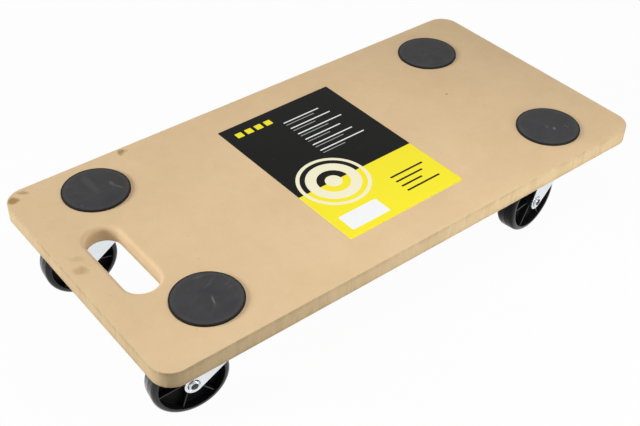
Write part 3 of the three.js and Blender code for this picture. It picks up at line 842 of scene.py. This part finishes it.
# Kingpins, races and balls
# Each fork hangs on a rivet through the plate's cup. Twelve steel balls in a thin cage run
# between plate and fork, and a hardened washer takes the load under the fork's crown.
PIN_RADIUS = 0.005
PIN_SEAT_EASE = 0.0003
PIN_STEPS = 64
PIN_HEAD_RADIUS = 0.008
PIN_UPPER_ROUND = 0.0012
PIN_LOWER_ROUND = 0.0014
PIN_UPPER_SEAT = -0.0037
PIN_UPPER_TOP = -0.0007
PIN_LOWER_SEAT = -0.0122
PIN_LOWER_END = -0.0152
RACE_TOP = -0.0099
RACE_BOTTOM = -0.0119
RACE_RADIUS = 0.0105
RACE_BORE_EASE = 0.0002
RACE_RIM_EASE = 0.0004
RING_EASE_STEPS = 3
BALL_RADIUS = 0.0025
BALL_CIRCLE = 0.0198
BALL_LEVEL = -0.0048
BALL_STEPS = 24
CAGE_RADIUS = 0.0006
CAGE_STEPS = 72
CAGE_WIRE_STEPS = 10
STEEL = (0.700, 0.705, 0.715)
STEEL_SHADE = (0.420, 0.425, 0.440)


def ball_steel():
    finish = Finish("ball_steel", Metallic=1.0)
    film = finish.noise(500, 3, 0.6)
    ring = finish.noise(300, 2, 0.5, stretch=(1, 1, 6))
    return finish.surface(
        Base_Color=finish.coated(STEEL, [((film - 0.4) * 1.2, STEEL_SHADE)]),
        Roughness=0.12 + film * 0.18,
        Normal=finish.relief(ring, 0.00002, 0.4),
    )


pin_finish = zinc_plating("pin_zinc", 2.0, 0.1)
pin_data = lathed((
    (0, PIN_LOWER_END),
    (PIN_HEAD_RADIUS, PIN_LOWER_END, PIN_LOWER_ROUND),
    (PIN_HEAD_RADIUS, PIN_LOWER_SEAT, PIN_SEAT_EASE),
    (PIN_RADIUS, PIN_LOWER_SEAT),
    (PIN_RADIUS, PIN_UPPER_SEAT),
    (PIN_HEAD_RADIUS, PIN_UPPER_SEAT, PIN_SEAT_EASE),
    (PIN_HEAD_RADIUS, PIN_UPPER_TOP, PIN_UPPER_ROUND),
    (0, PIN_UPPER_TOP),
), PIN_STEPS)
race_finish = ball_steel()
race_data = lathed((
    (KINGPIN_HOLE, RACE_BOTTOM, RACE_BORE_EASE),
    (RACE_RADIUS, RACE_BOTTOM, RACE_RIM_EASE),
    (RACE_RADIUS, RACE_TOP, RACE_RIM_EASE),
    (KINGPIN_HOLE, RACE_TOP, RACE_BORE_EASE),
), PIN_STEPS, ease_steps=RING_EASE_STEPS, closed=True)

sizes = {"Circle": BALL_CIRCLE, "Ball_radius": BALL_RADIUS, "Cage_radius": CAGE_RADIUS, "Level": BALL_LEVEL}
balls = Layout("ball_cage", Balls=12, **sizes)
given = balls.given
ball = balls.node("MeshUVSphere", {
    "Segments": BALL_STEPS, "Rings": BALL_STEPS // 2, "Radius": given["Ball radius"],
})
row = balls.repeated(ball, balls.node("MeshCircle", {"Vertices": given["Balls"], "Radius": given["Circle"]}))
hoop = balls.node("CurvePrimitiveCircle", {"Resolution": CAGE_STEPS, "Radius": given["Circle"]})
sockets = {"Resolution": CAGE_WIRE_STEPS, "Radius": given["Cage radius"]}
wire = balls.node("CurvePrimitiveCircle", sockets)
cage = balls.node("CurveToMesh", {"Curve": hoop, "Profile Curve": wire})
balls.finish(balls.raised(balls.node("JoinGeometry", {0: [row, cage]}), given["Level"]), race_finish)
ball_data = balls.laid_over(bpy.data.meshes.new("ball_cage"))

rivet = ("rivet_", pin_data, (pin_finish,), "deck", "zinc_plate", "kingpin_", 30)
race = ("race_ring_", race_data, (race_finish,), "deck", "zinc_plate", "race_washer_", 30)
at_corners(pin_places, rivet, race)
at_corners(pin_places, ("balls_", ball_data, (race_finish,), "caster_", "zinc_plate", "ball_ring_", 40))


# Forks
# Each fork is pressed from 2 mm steel and zinc plated: a round crown with a raised rim for the
# balls, and two legs that trail back to the axle, each with a seat pressed in round its hole.
FORK_SHEET = 0.002
FORK_OUTER = 0.015
FORK_INNER = 0.013
FORK_BEND = 0.002
CROWN_TOP = -0.0076
CROWN_REACH = 0.0215
CROWN_EDGE = 0.003
CROWN_BEND = 0.0022
CROWN_BEND_STEPS = 5
SKIRT_DEPTH = 0.0245
SKIRT_RADIUS = 0.006
RIM_OUTER = 0.0242
RIM_INNER = 0.0226
RIM_TOP = -0.0034
RIM_ROUND = 0.0007
RIM_FOOT_ROUND = 0.0010
AXLE_TRAIL = 0.029
AXLE_DROP = 0.056
LEG_END = 0.009124
SEAT_RADIUS = 0.006224
SEAT_FLOOR = 0.013
SEAT_BACK = 0.011
SEAT_BACK_BEND = 0.0012
SEAT_BEND = 0.0005
# How far in from the leg's outer face the seat's painted shade stops
SEAT_UNSHADED_EDGE = 0.0006
AXLE_HOLE = 0.0033
FORK_EASE = 0.00028
FORK_ARC_STEPS = 40
BEND_STEPS = 10
SEAT_STEPS = 64
BOLT_STEPS = 48
# How far the bar, its hollow and the cutters reach, what they have to spare and how they overlap
STOCK_REACH = 0.05
HOLLOW_REACH = 0.06
CUT_REACH = 0.02
SPARE = 0.002
OVERLAP = 0.001


def fork_section(half, top, bend, bottom):
    """Outline of the channel the fork is pressed into, open below."""
    bends = [(side * (half - bend), top - bend, bend) for side in (1, -1)]
    return belt(((half, bottom, 0), *bends, (-half, bottom, 0)), 2 * BEND_STEPS)


def paint(data, name, values):
    """Gives each vertex a value that its finish reads."""
    data.attributes.new(name, "FLOAT", "POINT").data.foreach_set("value", values)


ALONG_X = Matrix(((0, 0, 1, 0), (1, 0, 0, 0), (0, 1, 0, 0), (0, 0, 0, 1)))
ALONG_Y = Matrix(((1, 0, 0, 0), (0, 0, -1, 0), (0, 1, 0, 0), (0, 0, 0, 1)))
AXLE_PLACE = Matrix.Translation((-AXLE_TRAIL, 0, -AXLE_DROP))
LEG_BOTTOM = -AXLE_DROP - LEG_END - SPARE
CROWN_UNDER = CROWN_TOP - FORK_SHEET

channel = fork_section(FORK_OUTER, CROWN_TOP, FORK_BEND + FORK_SHEET, LEG_BOTTOM)
hollow = fork_section(FORK_INNER, CROWN_UNDER, FORK_BEND, LEG_BOTTOM - SPARE)
side_outline = belt((
    (-AXLE_TRAIL, -AXLE_DROP, LEG_END),
    (CROWN_REACH - SKIRT_RADIUS, CROWN_TOP - SKIRT_DEPTH + SKIRT_RADIUS, SKIRT_RADIUS),
    (CROWN_REACH - CROWN_EDGE, CROWN_TOP, CROWN_EDGE),
    (CROWN_EDGE - CROWN_REACH, CROWN_TOP, CROWN_EDGE),
), FORK_ARC_STEPS)
crown = lathed((
    (0, CROWN_UNDER),
    (RIM_OUTER, CROWN_UNDER, CROWN_BEND),
    (RIM_OUTER, RIM_TOP, RIM_ROUND),
    (RIM_INNER, RIM_TOP, RIM_ROUND),
    (RIM_INNER, CROWN_TOP, RIM_FOOT_ROUND),
    (0, CROWN_TOP),
), CUP_STEPS, ease_steps=CROWN_BEND_STEPS)
boss = (
    (0, SEAT_BACK),
    (SEAT_RADIUS + FORK_SHEET, SEAT_BACK, SEAT_BACK_BEND),
    (SEAT_RADIUS + FORK_SHEET, SEAT_FLOOR + OVERLAP),
    (0, SEAT_FLOOR + OVERLAP),
)
recess = (
    (0, SEAT_FLOOR),
    (SEAT_RADIUS, SEAT_FLOOR, SEAT_BEND),
    (SEAT_RADIUS, FORK_OUTER, SEAT_BEND),
    (SEAT_RADIUS + OVERLAP, FORK_OUTER),
    (SEAT_RADIUS + OVERLAP, FORK_OUTER + SPARE),
    (0, FORK_OUTER + SPARE),
)
axle_hole = ((0, 0), (AXLE_HOLE, 0), (AXLE_HOLE, CUT_REACH), (0, CUT_REACH))
pin_hole = ((0, -CUT_REACH), (KINGPIN_HOLE, -CUT_REACH), (KINGPIN_HOLE, 0), (0, 0))
steps = [
    ("DIFFERENCE", prism(hollow, -HOLLOW_REACH, HOLLOW_REACH, ALONG_X)),
    ("INTERSECT", prism(side_outline, -CUT_REACH, CUT_REACH, ALONG_Y)),
    ("UNION", crown),
]
for side in (0, pi):
    to_side = AXLE_PLACE @ Matrix.Rotation(side, 4, "X") @ Matrix.Rotation(-pi / 2, 4, "X")
    steps += [
        ("UNION", lathed(boss, SEAT_STEPS, to_side, CROWN_BEND_STEPS)),
        ("DIFFERENCE", lathed(recess, SEAT_STEPS, to_side)),
        ("DIFFERENCE", lathed(axle_hole, BOLT_STEPS, to_side)),
    ]
steps.append(("DIFFERENCE", lathed(pin_hole, PIN_STEPS)))
fork_data = carved(prism(channel, -STOCK_REACH, STOCK_REACH, ALONG_X), *steps)
fork_data = modified(fork_data, "BEVEL", {
    "width": FORK_EASE,
    "segments": 2,
    "limit_method": "ANGLE",
    "angle_limit": radians(40),
    "use_clamp_overlap": True,
})
# Vertices inside each leg's seat recess are marked for painted shade, which darkens the recess
grime = []
shaded_low, shaded_high = SEAT_FLOOR - FORK_EASE, FORK_OUTER - SEAT_UNSHADED_EDGE
for vert in fork_data.vertices:
    off_axle = hypot(vert.co.x + AXLE_TRAIL, vert.co.z + AXLE_DROP)
    in_seat = off_axle < SEAT_RADIUS and shaded_low < abs(vert.co.y) < shaded_high
    grime.append(1.0 if in_seat else 0.0)
paint(fork_data, "grime", grime)

fork_finish = zinc_plating("fork_zinc", 0.8)
fork_places = {}
for corner in CORNERS:
    axle = Vector(joints["roll_" + corner]["axis"]).normalized()
    ahead = axle.cross(Vector((0, 0, 1)))
    turn = Matrix((ahead, axle, Vector((0, 0, 1)))).transposed().to_4x4()
    fork_places[corner] = pin_places[corner] @ turn
at_corners(fork_places, ("pressed_fork_", fork_data, (fork_finish,), "caster_", "zinc_plate", "fork_", 32))


# Axle bolts, nuts and sleeves
# An M6 hexagon bolt clamps a steel sleeve between each fork's legs. Its lock nut sits in the
# outer leg's seat, with a dark nylon ring round the bolt's end.
BOLT_RADIUS = 0.003
BOLT_LOW = -0.0174
BOLT_PITCH = 0.001
BOLT_THREAD = 0.008
BOLT_POINT = 0.0004
BOLT_RIDGE = 0.0003
BOLT_END_TAPER = 0.0005
BOLT_RUNOUT = 0.0006
HEAD_SEAT = 0.0133
HEAD_TOP = 0.0173
HEX_CORNER = 0.0057735
HEX_CHAMFER = 0.0007
HEX_SLOPE = 1.7
HEX_TURNED = HEX_CORNER * 1.01
HEX_STEPS = 72
DISH_EASE = 0.0002
WASHER_FACE = 0.0003
WASHER_RADIUS = HEX_CORNER * 0.84
NUT_HEX_TOP = 0.0156
NUT_TOP = 0.0169
NUT_COLLAR = 0.0045
NUT_COLLAR_ROUND = 0.0006
NUT_MOUTH = 0.0037
NUT_BORE_LOW = 0.01
NYLON_BORE = 0.00305
NYLON_LOW = 0.0158
NYLON_TOP = 0.0165
NYLON_EASE = 0.0002
NYLON_TUCK = 0.0001
SLEEVE_OUTER = 0.0045
SLEEVE_HALF = 0.0107
SLEEVE_BORE_EASE = 0.0002
SLEEVE_RIM_EASE = 0.0003
NYLON = (0.020, 0.022, 0.030)
NYLON_SHEEN = (0.050, 0.055, 0.070)
STEEL_OILED = (0.055, 0.055, 0.058)
STEEL_RUBBED = (0.170, 0.170, 0.175)
TO_HEAD = AXLE_PLACE @ Matrix.Rotation(-pi / 2, 4, "X")
TO_NUT = AXLE_PLACE @ Matrix.Rotation(pi / 2, 4, "X")


def mottled(name, shading, first, second, roughness, depth, **constants):
    """One colour shading into another: shading is a scale, detail, warp, start and gain."""
    finish = Finish(name, **constants)
    scale, detail, warp, start, gain = shading
    shade = finish.noise(scale, detail, 0.6, warp)
    return finish.surface(
        Base_Color=finish.coated(first, [((shade - start) * gain, second)]),
        Roughness=roughness + shade * 0.25,
        Normal=finish.relief(shade, depth, 0.5),
    )


def hexagon(low, high, chamfer_low, chamfer_high):
    """A hexagon bar with its corners turned off to a chamfer at either end."""
    outline = round_outline(HEX_CORNER, 6, lead=pi / 6)
    turning = (
        (0, low),
        (HEX_TURNED - chamfer_low * HEX_SLOPE, low),
        (HEX_TURNED, low + chamfer_low),
        (HEX_TURNED, high - chamfer_high),
        (HEX_TURNED - chamfer_high * HEX_SLOPE, high),
        (0, high),
    )
    bar = prism(outline, low - WASHER_FACE, high + WASHER_FACE)
    return carved(bar, ("INTERSECT", lathed(turning, HEX_STEPS)))


bolt_finish = zinc_plating("bolt_zinc", 2.0, 0.05)
end_finish = mottled(
    "oiled_steel", (700, 4, 0.5, 0.35, 1.6), STEEL_OILED, STEEL_RUBBED, 0.38, 0.00003, Metallic=1.0
)
nylon_finish = mottled(
    "nylon_ring", (900, 3, 0, 0, 1), NYLON, NYLON_SHEEN, 0.35, 0.00004, Specular_IOR_Level=0.5
)
dish = lathed((
    (0, HEAD_TOP - WASHER_FACE),
    (BOLT_RADIUS, HEAD_TOP - WASHER_FACE, DISH_EASE),
    (BOLT_RADIUS + WASHER_FACE, HEAD_TOP),
    (BOLT_RADIUS + WASHER_FACE, HEAD_TOP + BOLT_RADIUS),
    (0, HEAD_TOP + BOLT_RADIUS),
), BOLT_STEPS)
head_bar = hexagon(HEAD_SEAT + WASHER_FACE, HEAD_TOP, HEX_CHAMFER / 3, HEX_CHAMFER)
head_data = carved(head_bar, ("DIFFERENCE", dish))
shank_data = lathed((
    (0, BOLT_LOW),
    (BOLT_RADIUS - BOLT_END_TAPER, BOLT_LOW),
    (BOLT_RADIUS - BOLT_RIDGE, BOLT_LOW + BOLT_POINT),
    (BOLT_RADIUS - BOLT_RIDGE, BOLT_LOW + BOLT_THREAD),
    (BOLT_RADIUS, BOLT_LOW + BOLT_THREAD + BOLT_POINT),
    (BOLT_RADIUS, HEAD_SEAT - WASHER_FACE),
    (WASHER_RADIUS, HEAD_SEAT),
    (WASHER_RADIUS, HEAD_SEAT + WASHER_FACE),
    (0, HEAD_SEAT + WASHER_FACE),
), BOLT_STEPS)
bolt_thread = thread(
    "bolt_thread", BOLT_RADIUS - BOLT_RIDGE, BOLT_RADIUS - BOLT_RIDGE, BOLT_PITCH, BOLT_LOW + BOLT_POINT,
    BOLT_THREAD - BOLT_RUNOUT, BOLT_RIDGE, end_finish,
)
bolt_data = together((head_data, 0), (shank_data, 1), (bolt_thread, 1))
bolt_data.transform(TO_HEAD)

collar = lathed((
    (0, HEAD_SEAT + WASHER_FACE),
    (NUT_COLLAR, HEAD_SEAT + WASHER_FACE),
    (NUT_COLLAR, NUT_TOP, NUT_COLLAR_ROUND),
    (0, NUT_TOP),
), SEAT_STEPS)
nut_bore = lathed((
    (0, NUT_BORE_LOW),
    (AXLE_HOLE, NUT_BORE_LOW),
    (AXLE_HOLE, NYLON_LOW),
    (NUT_MOUTH, NYLON_LOW + 2 * NYLON_TUCK),
    (NUT_MOUTH, NYLON_TOP),
    (NUT_MOUTH + NYLON_TUCK, CUT_REACH),
    (0, CUT_REACH),
), SEAT_STEPS)
nut_bar = hexagon(HEAD_SEAT, NUT_HEX_TOP, HEX_CHAMFER / 2, HEX_CHAMFER / 2)
nut_data = carved(nut_bar, ("UNION", collar), ("DIFFERENCE", nut_bore))
nylon_data = lathed((
    (NYLON_BORE, NYLON_LOW + NYLON_TUCK),
    (NUT_MOUTH + 2 * NYLON_TUCK, NYLON_LOW + NYLON_TUCK),
    (NUT_MOUTH + 2 * NYLON_TUCK, NYLON_TOP),
    (NYLON_BORE, NYLON_TOP, NYLON_EASE),
), BOLT_STEPS, closed=True)
nut_data = together((nut_data, 0), (nylon_data, 1))
nut_data.transform(TO_NUT)

sleeve_data = lathed((
    (AXLE_HOLE, -SLEEVE_HALF, SLEEVE_BORE_EASE),
    (SLEEVE_OUTER, -SLEEVE_HALF, SLEEVE_RIM_EASE),
    (SLEEVE_OUTER, SLEEVE_HALF, SLEEVE_RIM_EASE),
    (AXLE_HOLE, SLEEVE_HALF, SLEEVE_BORE_EASE),
), BOLT_STEPS, TO_HEAD, RING_EASE_STEPS, closed=True)

at_corners(
    fork_places,
    ("bolt_", bolt_data, (bolt_finish, end_finish), "caster_", "zinc_plate", "axle_bolt_", 32),
    ("lock_nut_", nut_data, (bolt_finish, nylon_finish), "caster_", "zinc_plate", "axle_nut_", 32),
    ("sleeve_", sleeve_data, (end_finish,), "caster_", "zinc_plate", "axle_sleeve_", 32),
)


# Wheels
# Each wheel is moulded in one piece from black plastic, with a rounded tread, a deep rim, a
# thin web braced by six ribs, and a hub bored for the sleeve. A fine mould line runs round it.
WHEEL_RADIUS = 0.039
WHEEL_HALF = 0.011
WHEEL_SHOULDER = 0.005
MOULD_LINE = 0.00005
MOULD_LINE_ROOT = 0.00025
MOULD_LINE_CREST = 0.0001
RIM_FACE_INNER = 0.033
RIM_FACE_EASE = 0.00035
RIM_ROOT = 0.032
RIM_ROOT_ROUND = 0.0007
WEB_HALF = 0.0025
HUB_RADIUS = 0.010
HUB_ROOT_ROUND = 0.0006
HUB_END_RADIUS = 0.009
HUB_END_ROUND = 0.0005
HUB_HALF = 0.0104
WHEEL_BORE = 0.0048
WHEEL_BORE_EASE = 0.0004
RIB_COUNT = 6
RIB_ROOT_HALF = 0.0009
RIB_TOP_HALF = 0.0007
RIB_HALF_HEIGHT = 0.009
RIB_EASE = 0.00035
RIB_BURIED = 0.001
RIB_EASE_STEPS = 8
WHEEL_STEPS = 144
WHEEL_EASE_STEPS = 8
# How far each wheel has rolled, in degrees, and how much its coat's sheen is held back, a painted shade set
# wheel by wheel
WHEEL_STATES = dict(zip(CORNERS, ((-12, 0.0), (12, 0.5), (0, 1.0), (-12, 0.6))))
# Reach given to the rib tops so that they take the rim arris's painted highlight
RIB_TOP_SHEEN = 0.0330
PLASTIC = (0.0060, 0.0060, 0.0064)
# Lighter worn plastic, also laid on as a painted highlight along the rim face's inner arris and the rib tops
PLASTIC_WORN_AND_HIGHLIGHT = (0.0200, 0.0200, 0.0205)
# Darker plastic painted inside the rim, as painted shade in the wheel's hollow
PLASTIC_PAINTED_SHADE = (0.0030, 0.0030, 0.0032)
FLOOR_DUST = (0.110, 0.105, 0.095)


def wheel_plastic():
    finish = Finish("wheel_plastic", Specular_IOR_Level=0.10, Coat_IOR=1.34, Coat_Roughness=0.24)
    reach = finish.painted("reach")
    dull = finish.painted("dull")
    tread = reach.rising(0.0355, 0.0384)
    inside = reach.rising(0.0332, 0.0324)
    # The rim face's inner arris and the rib tops are painted lighter: partly wear, partly a painted
    # highlight
    arris_wear_and_highlight = reach.rising(0.0326, 0.0331) * reach.rising(0.0345, 0.0335)
    cloud = finish.noise(70, 4, 0.6, 0.6)
    grain = finish.noise(2400, 2, 0.5)
    scuff = finish.noise(260, 4, 0.65, 1, stretch=(1, 0.22, 1)).rising(0.58, 0.74)
    speck = finish.noise(1300, 2, 0.5).rising(0.72, 0.80)
    coats = (
        ((cloud - 0.45) * 1.2 * (1 - inside) + arris_wear_and_highlight * 0.8, PLASTIC_WORN_AND_HIGHLIGHT),
        # Inside the rim the plastic is painted darker, and its coat is left off: painted shade in the
        # wheel's hollow
        (inside * 0.6, PLASTIC_PAINTED_SHADE),
        (tread * scuff * 0.12 + speck * (1 - inside) * 0.08, FLOOR_DUST),
    )
    return finish.surface(
        Base_Color=finish.coated(PLASTIC, coats),
        Roughness=0.20 + inside * 0.34 + cloud * 0.12 + scuff * tread * 0.12,
        # Each wheel's coat is held back by its own amount, most on the tread: painted shade on the sheen
        Coat_Weight=(1 - inside) * (1 - dull * (0.3 + tread * 0.7)),
        Normal=finish.relief(grain * 0.5 + cloud * 0.4, 0.00005, 0.5),
    )


wheel_finish = wheel_plastic()
wheel_side = (
    (WHEEL_BORE, HUB_HALF, WHEEL_BORE_EASE),
    (HUB_END_RADIUS, HUB_HALF, HUB_END_ROUND),
    (HUB_RADIUS, WEB_HALF, HUB_ROOT_ROUND),
    (RIM_ROOT, WEB_HALF, RIM_ROOT_ROUND),
    (RIM_FACE_INNER, WHEEL_HALF, RIM_FACE_EASE),
    (WHEEL_RADIUS - MOULD_LINE, WHEEL_HALF, WHEEL_SHOULDER),
    (WHEEL_RADIUS - MOULD_LINE, MOULD_LINE_ROOT),
    (WHEEL_RADIUS, MOULD_LINE_CREST),
)
mirrored = tuple((radius, -height, *ease) for radius, height, *ease in reversed(wheel_side))
solid_data = lathed(wheel_side + mirrored, WHEEL_STEPS, ease_steps=WHEEL_EASE_STEPS, closed=True)
rib_circles = [
    (side_x * (RIB_TOP_HALF - RIB_EASE), side_y * (RIB_HALF_HEIGHT - RIB_EASE), RIB_EASE)
    for side_x, side_y in QUARTERS
]
rib_circles[2:2] = [(-RIB_ROOT_HALF, 0, 0)]
rib_circles.append((RIB_ROOT_HALF, 0, 0))
rib_outline = belt(rib_circles, RIB_EASE_STEPS)
rib_data = prism(rib_outline, HUB_END_RADIUS - RIB_BURIED, WHEEL_RADIUS - WHEEL_SHOULDER, ALONG_X)
ribs = Layout("wheel_ribs", Ribs=RIB_COUNT)
count = ribs.given["Ribs"]
step = ribs.node("Math", {0: 2 * pi, 1: count}, operation="DIVIDE")
turn = ribs.node("Math", {0: ribs.node("InputIndex", {}), 1: step}, operation="MULTIPLY")
middle = ribs.node("Points", {"Count": count, "Position": (0, 0, 0)})
row = ribs.repeated(ribs.given["Piece"], middle, Rotation=ribs.vector(0.0, 0.0, turn))
ribs.finish(row, wheel_finish)
wheel_data = together((solid_data, 0), (ribs.laid_over(rib_data), 0))
reach = []
for vert in wheel_data.vertices:
    on_rib_top = vert.index >= len(solid_data.vertices) and abs(vert.co.z) > RIB_HALF_HEIGHT - RIB_EASE / 2
    reach.append(max(vert.co.xy.length, RIB_TOP_SHEEN if on_rib_top else 0.0))
paint(wheel_data, "reach", reach)
for corner, (roll, dullness) in WHEEL_STATES.items():
    data = wheel_data.copy()
    paint(data, "dull", [dullness] * len(reach))
    name, body, node = ("moulded_wheel_" + corner, "roller_" + corner, "wheel_" + corner)
    place = fork_places[corner] @ TO_HEAD @ Matrix.Rotation(radians(roll), 4, "Z")
    fitted(name, data, (wheel_finish,), body, (node,), 32, place)


# Floor and lights
# A plain white floor and backdrop, lit from the left by one large lamp and filled by two small
# ones. The floor keeps the trolley's soft shadow.
FLOOR_HALF = 6.0
FLOOR_WHITE = (0.58, 0.58, 0.58)
FLOOR_SHOWN = 0.97
SKY_LEVEL = 0.26

floor_mesh = bpy.data.meshes.new("floor")
floor_corners = [(side_x * FLOOR_HALF, side_y * FLOOR_HALF, 0) for side_x, side_y in QUARTERS]
floor_mesh.from_pydata(floor_corners, [], [(0, 1, 2, 3)])
floor = added("floor", floor_mesh)


def shown_to_camera(finish):
    """1 for a ray from the camera, seen straight, mirrored or through glass, else 0."""
    shown = finish.node("LightPath", {}, {}, "Is Camera Ray")
    rays = shown.socket.node.outputs
    for ray in ("Is Glossy Ray", "Is Transmission Ray"):
        shown = shown.at_least(Wire(finish, rays[ray]))
    return shown


ground = Finish("floor_white", Base_Color=(*FLOOR_WHITE, 1), Roughness=0.9, Specular_IOR_Level=0.0)
white = ground.node("Emission", {}, {"Color": (1, 1, 1, 1), "Strength": 1.0})
lit = Wire(ground, ground.shader.outputs[0])
share = shown_to_camera(ground) * FLOOR_SHOWN
seen = ground.node("MixShader", {}, {0: share, 1: lit, 2: white})
ground.tree.links.new(seen.socket, ground.tree.nodes["Material Output"].inputs[0])
floor_mesh.materials.append(ground.holder)

sky = Finish("studio", bpy.data.worlds, "Background", Color=(1, 1, 1, 1))
bpy.context.scene.world = sky.surface(Strength=shown_to_camera(sky).at_least(SKY_LEVEL))


def lamp(name, place, aim, size, watts):
    light = bpy.data.lights.new(name, "AREA")
    light.shape = "RECTANGLE"
    light.size, light.size_y = size
    light.energy = watts
    holder = added(name, light)
    holder.location = place
    holder.rotation_euler = (Vector(aim) - Vector(place)).to_track_quat("-Z", "Y").to_euler()


lamp("left_softbox", (-2.1, 1.03, 0.97), (0, 0, 0.1), (0.9, 0.8), 47)
lamp("right_softbox", (0.20, -0.6, 0.2), (0.1, 0, 0.1), (0.24, 0.16), 1.75)
lamp("top_softbox", (0.0, -0.25, 0.8), (-0.1, 0, 0.1), (0.4, 0.3), 2.5)

bpy.context.scene.view_settings.view_transform = "Standard"
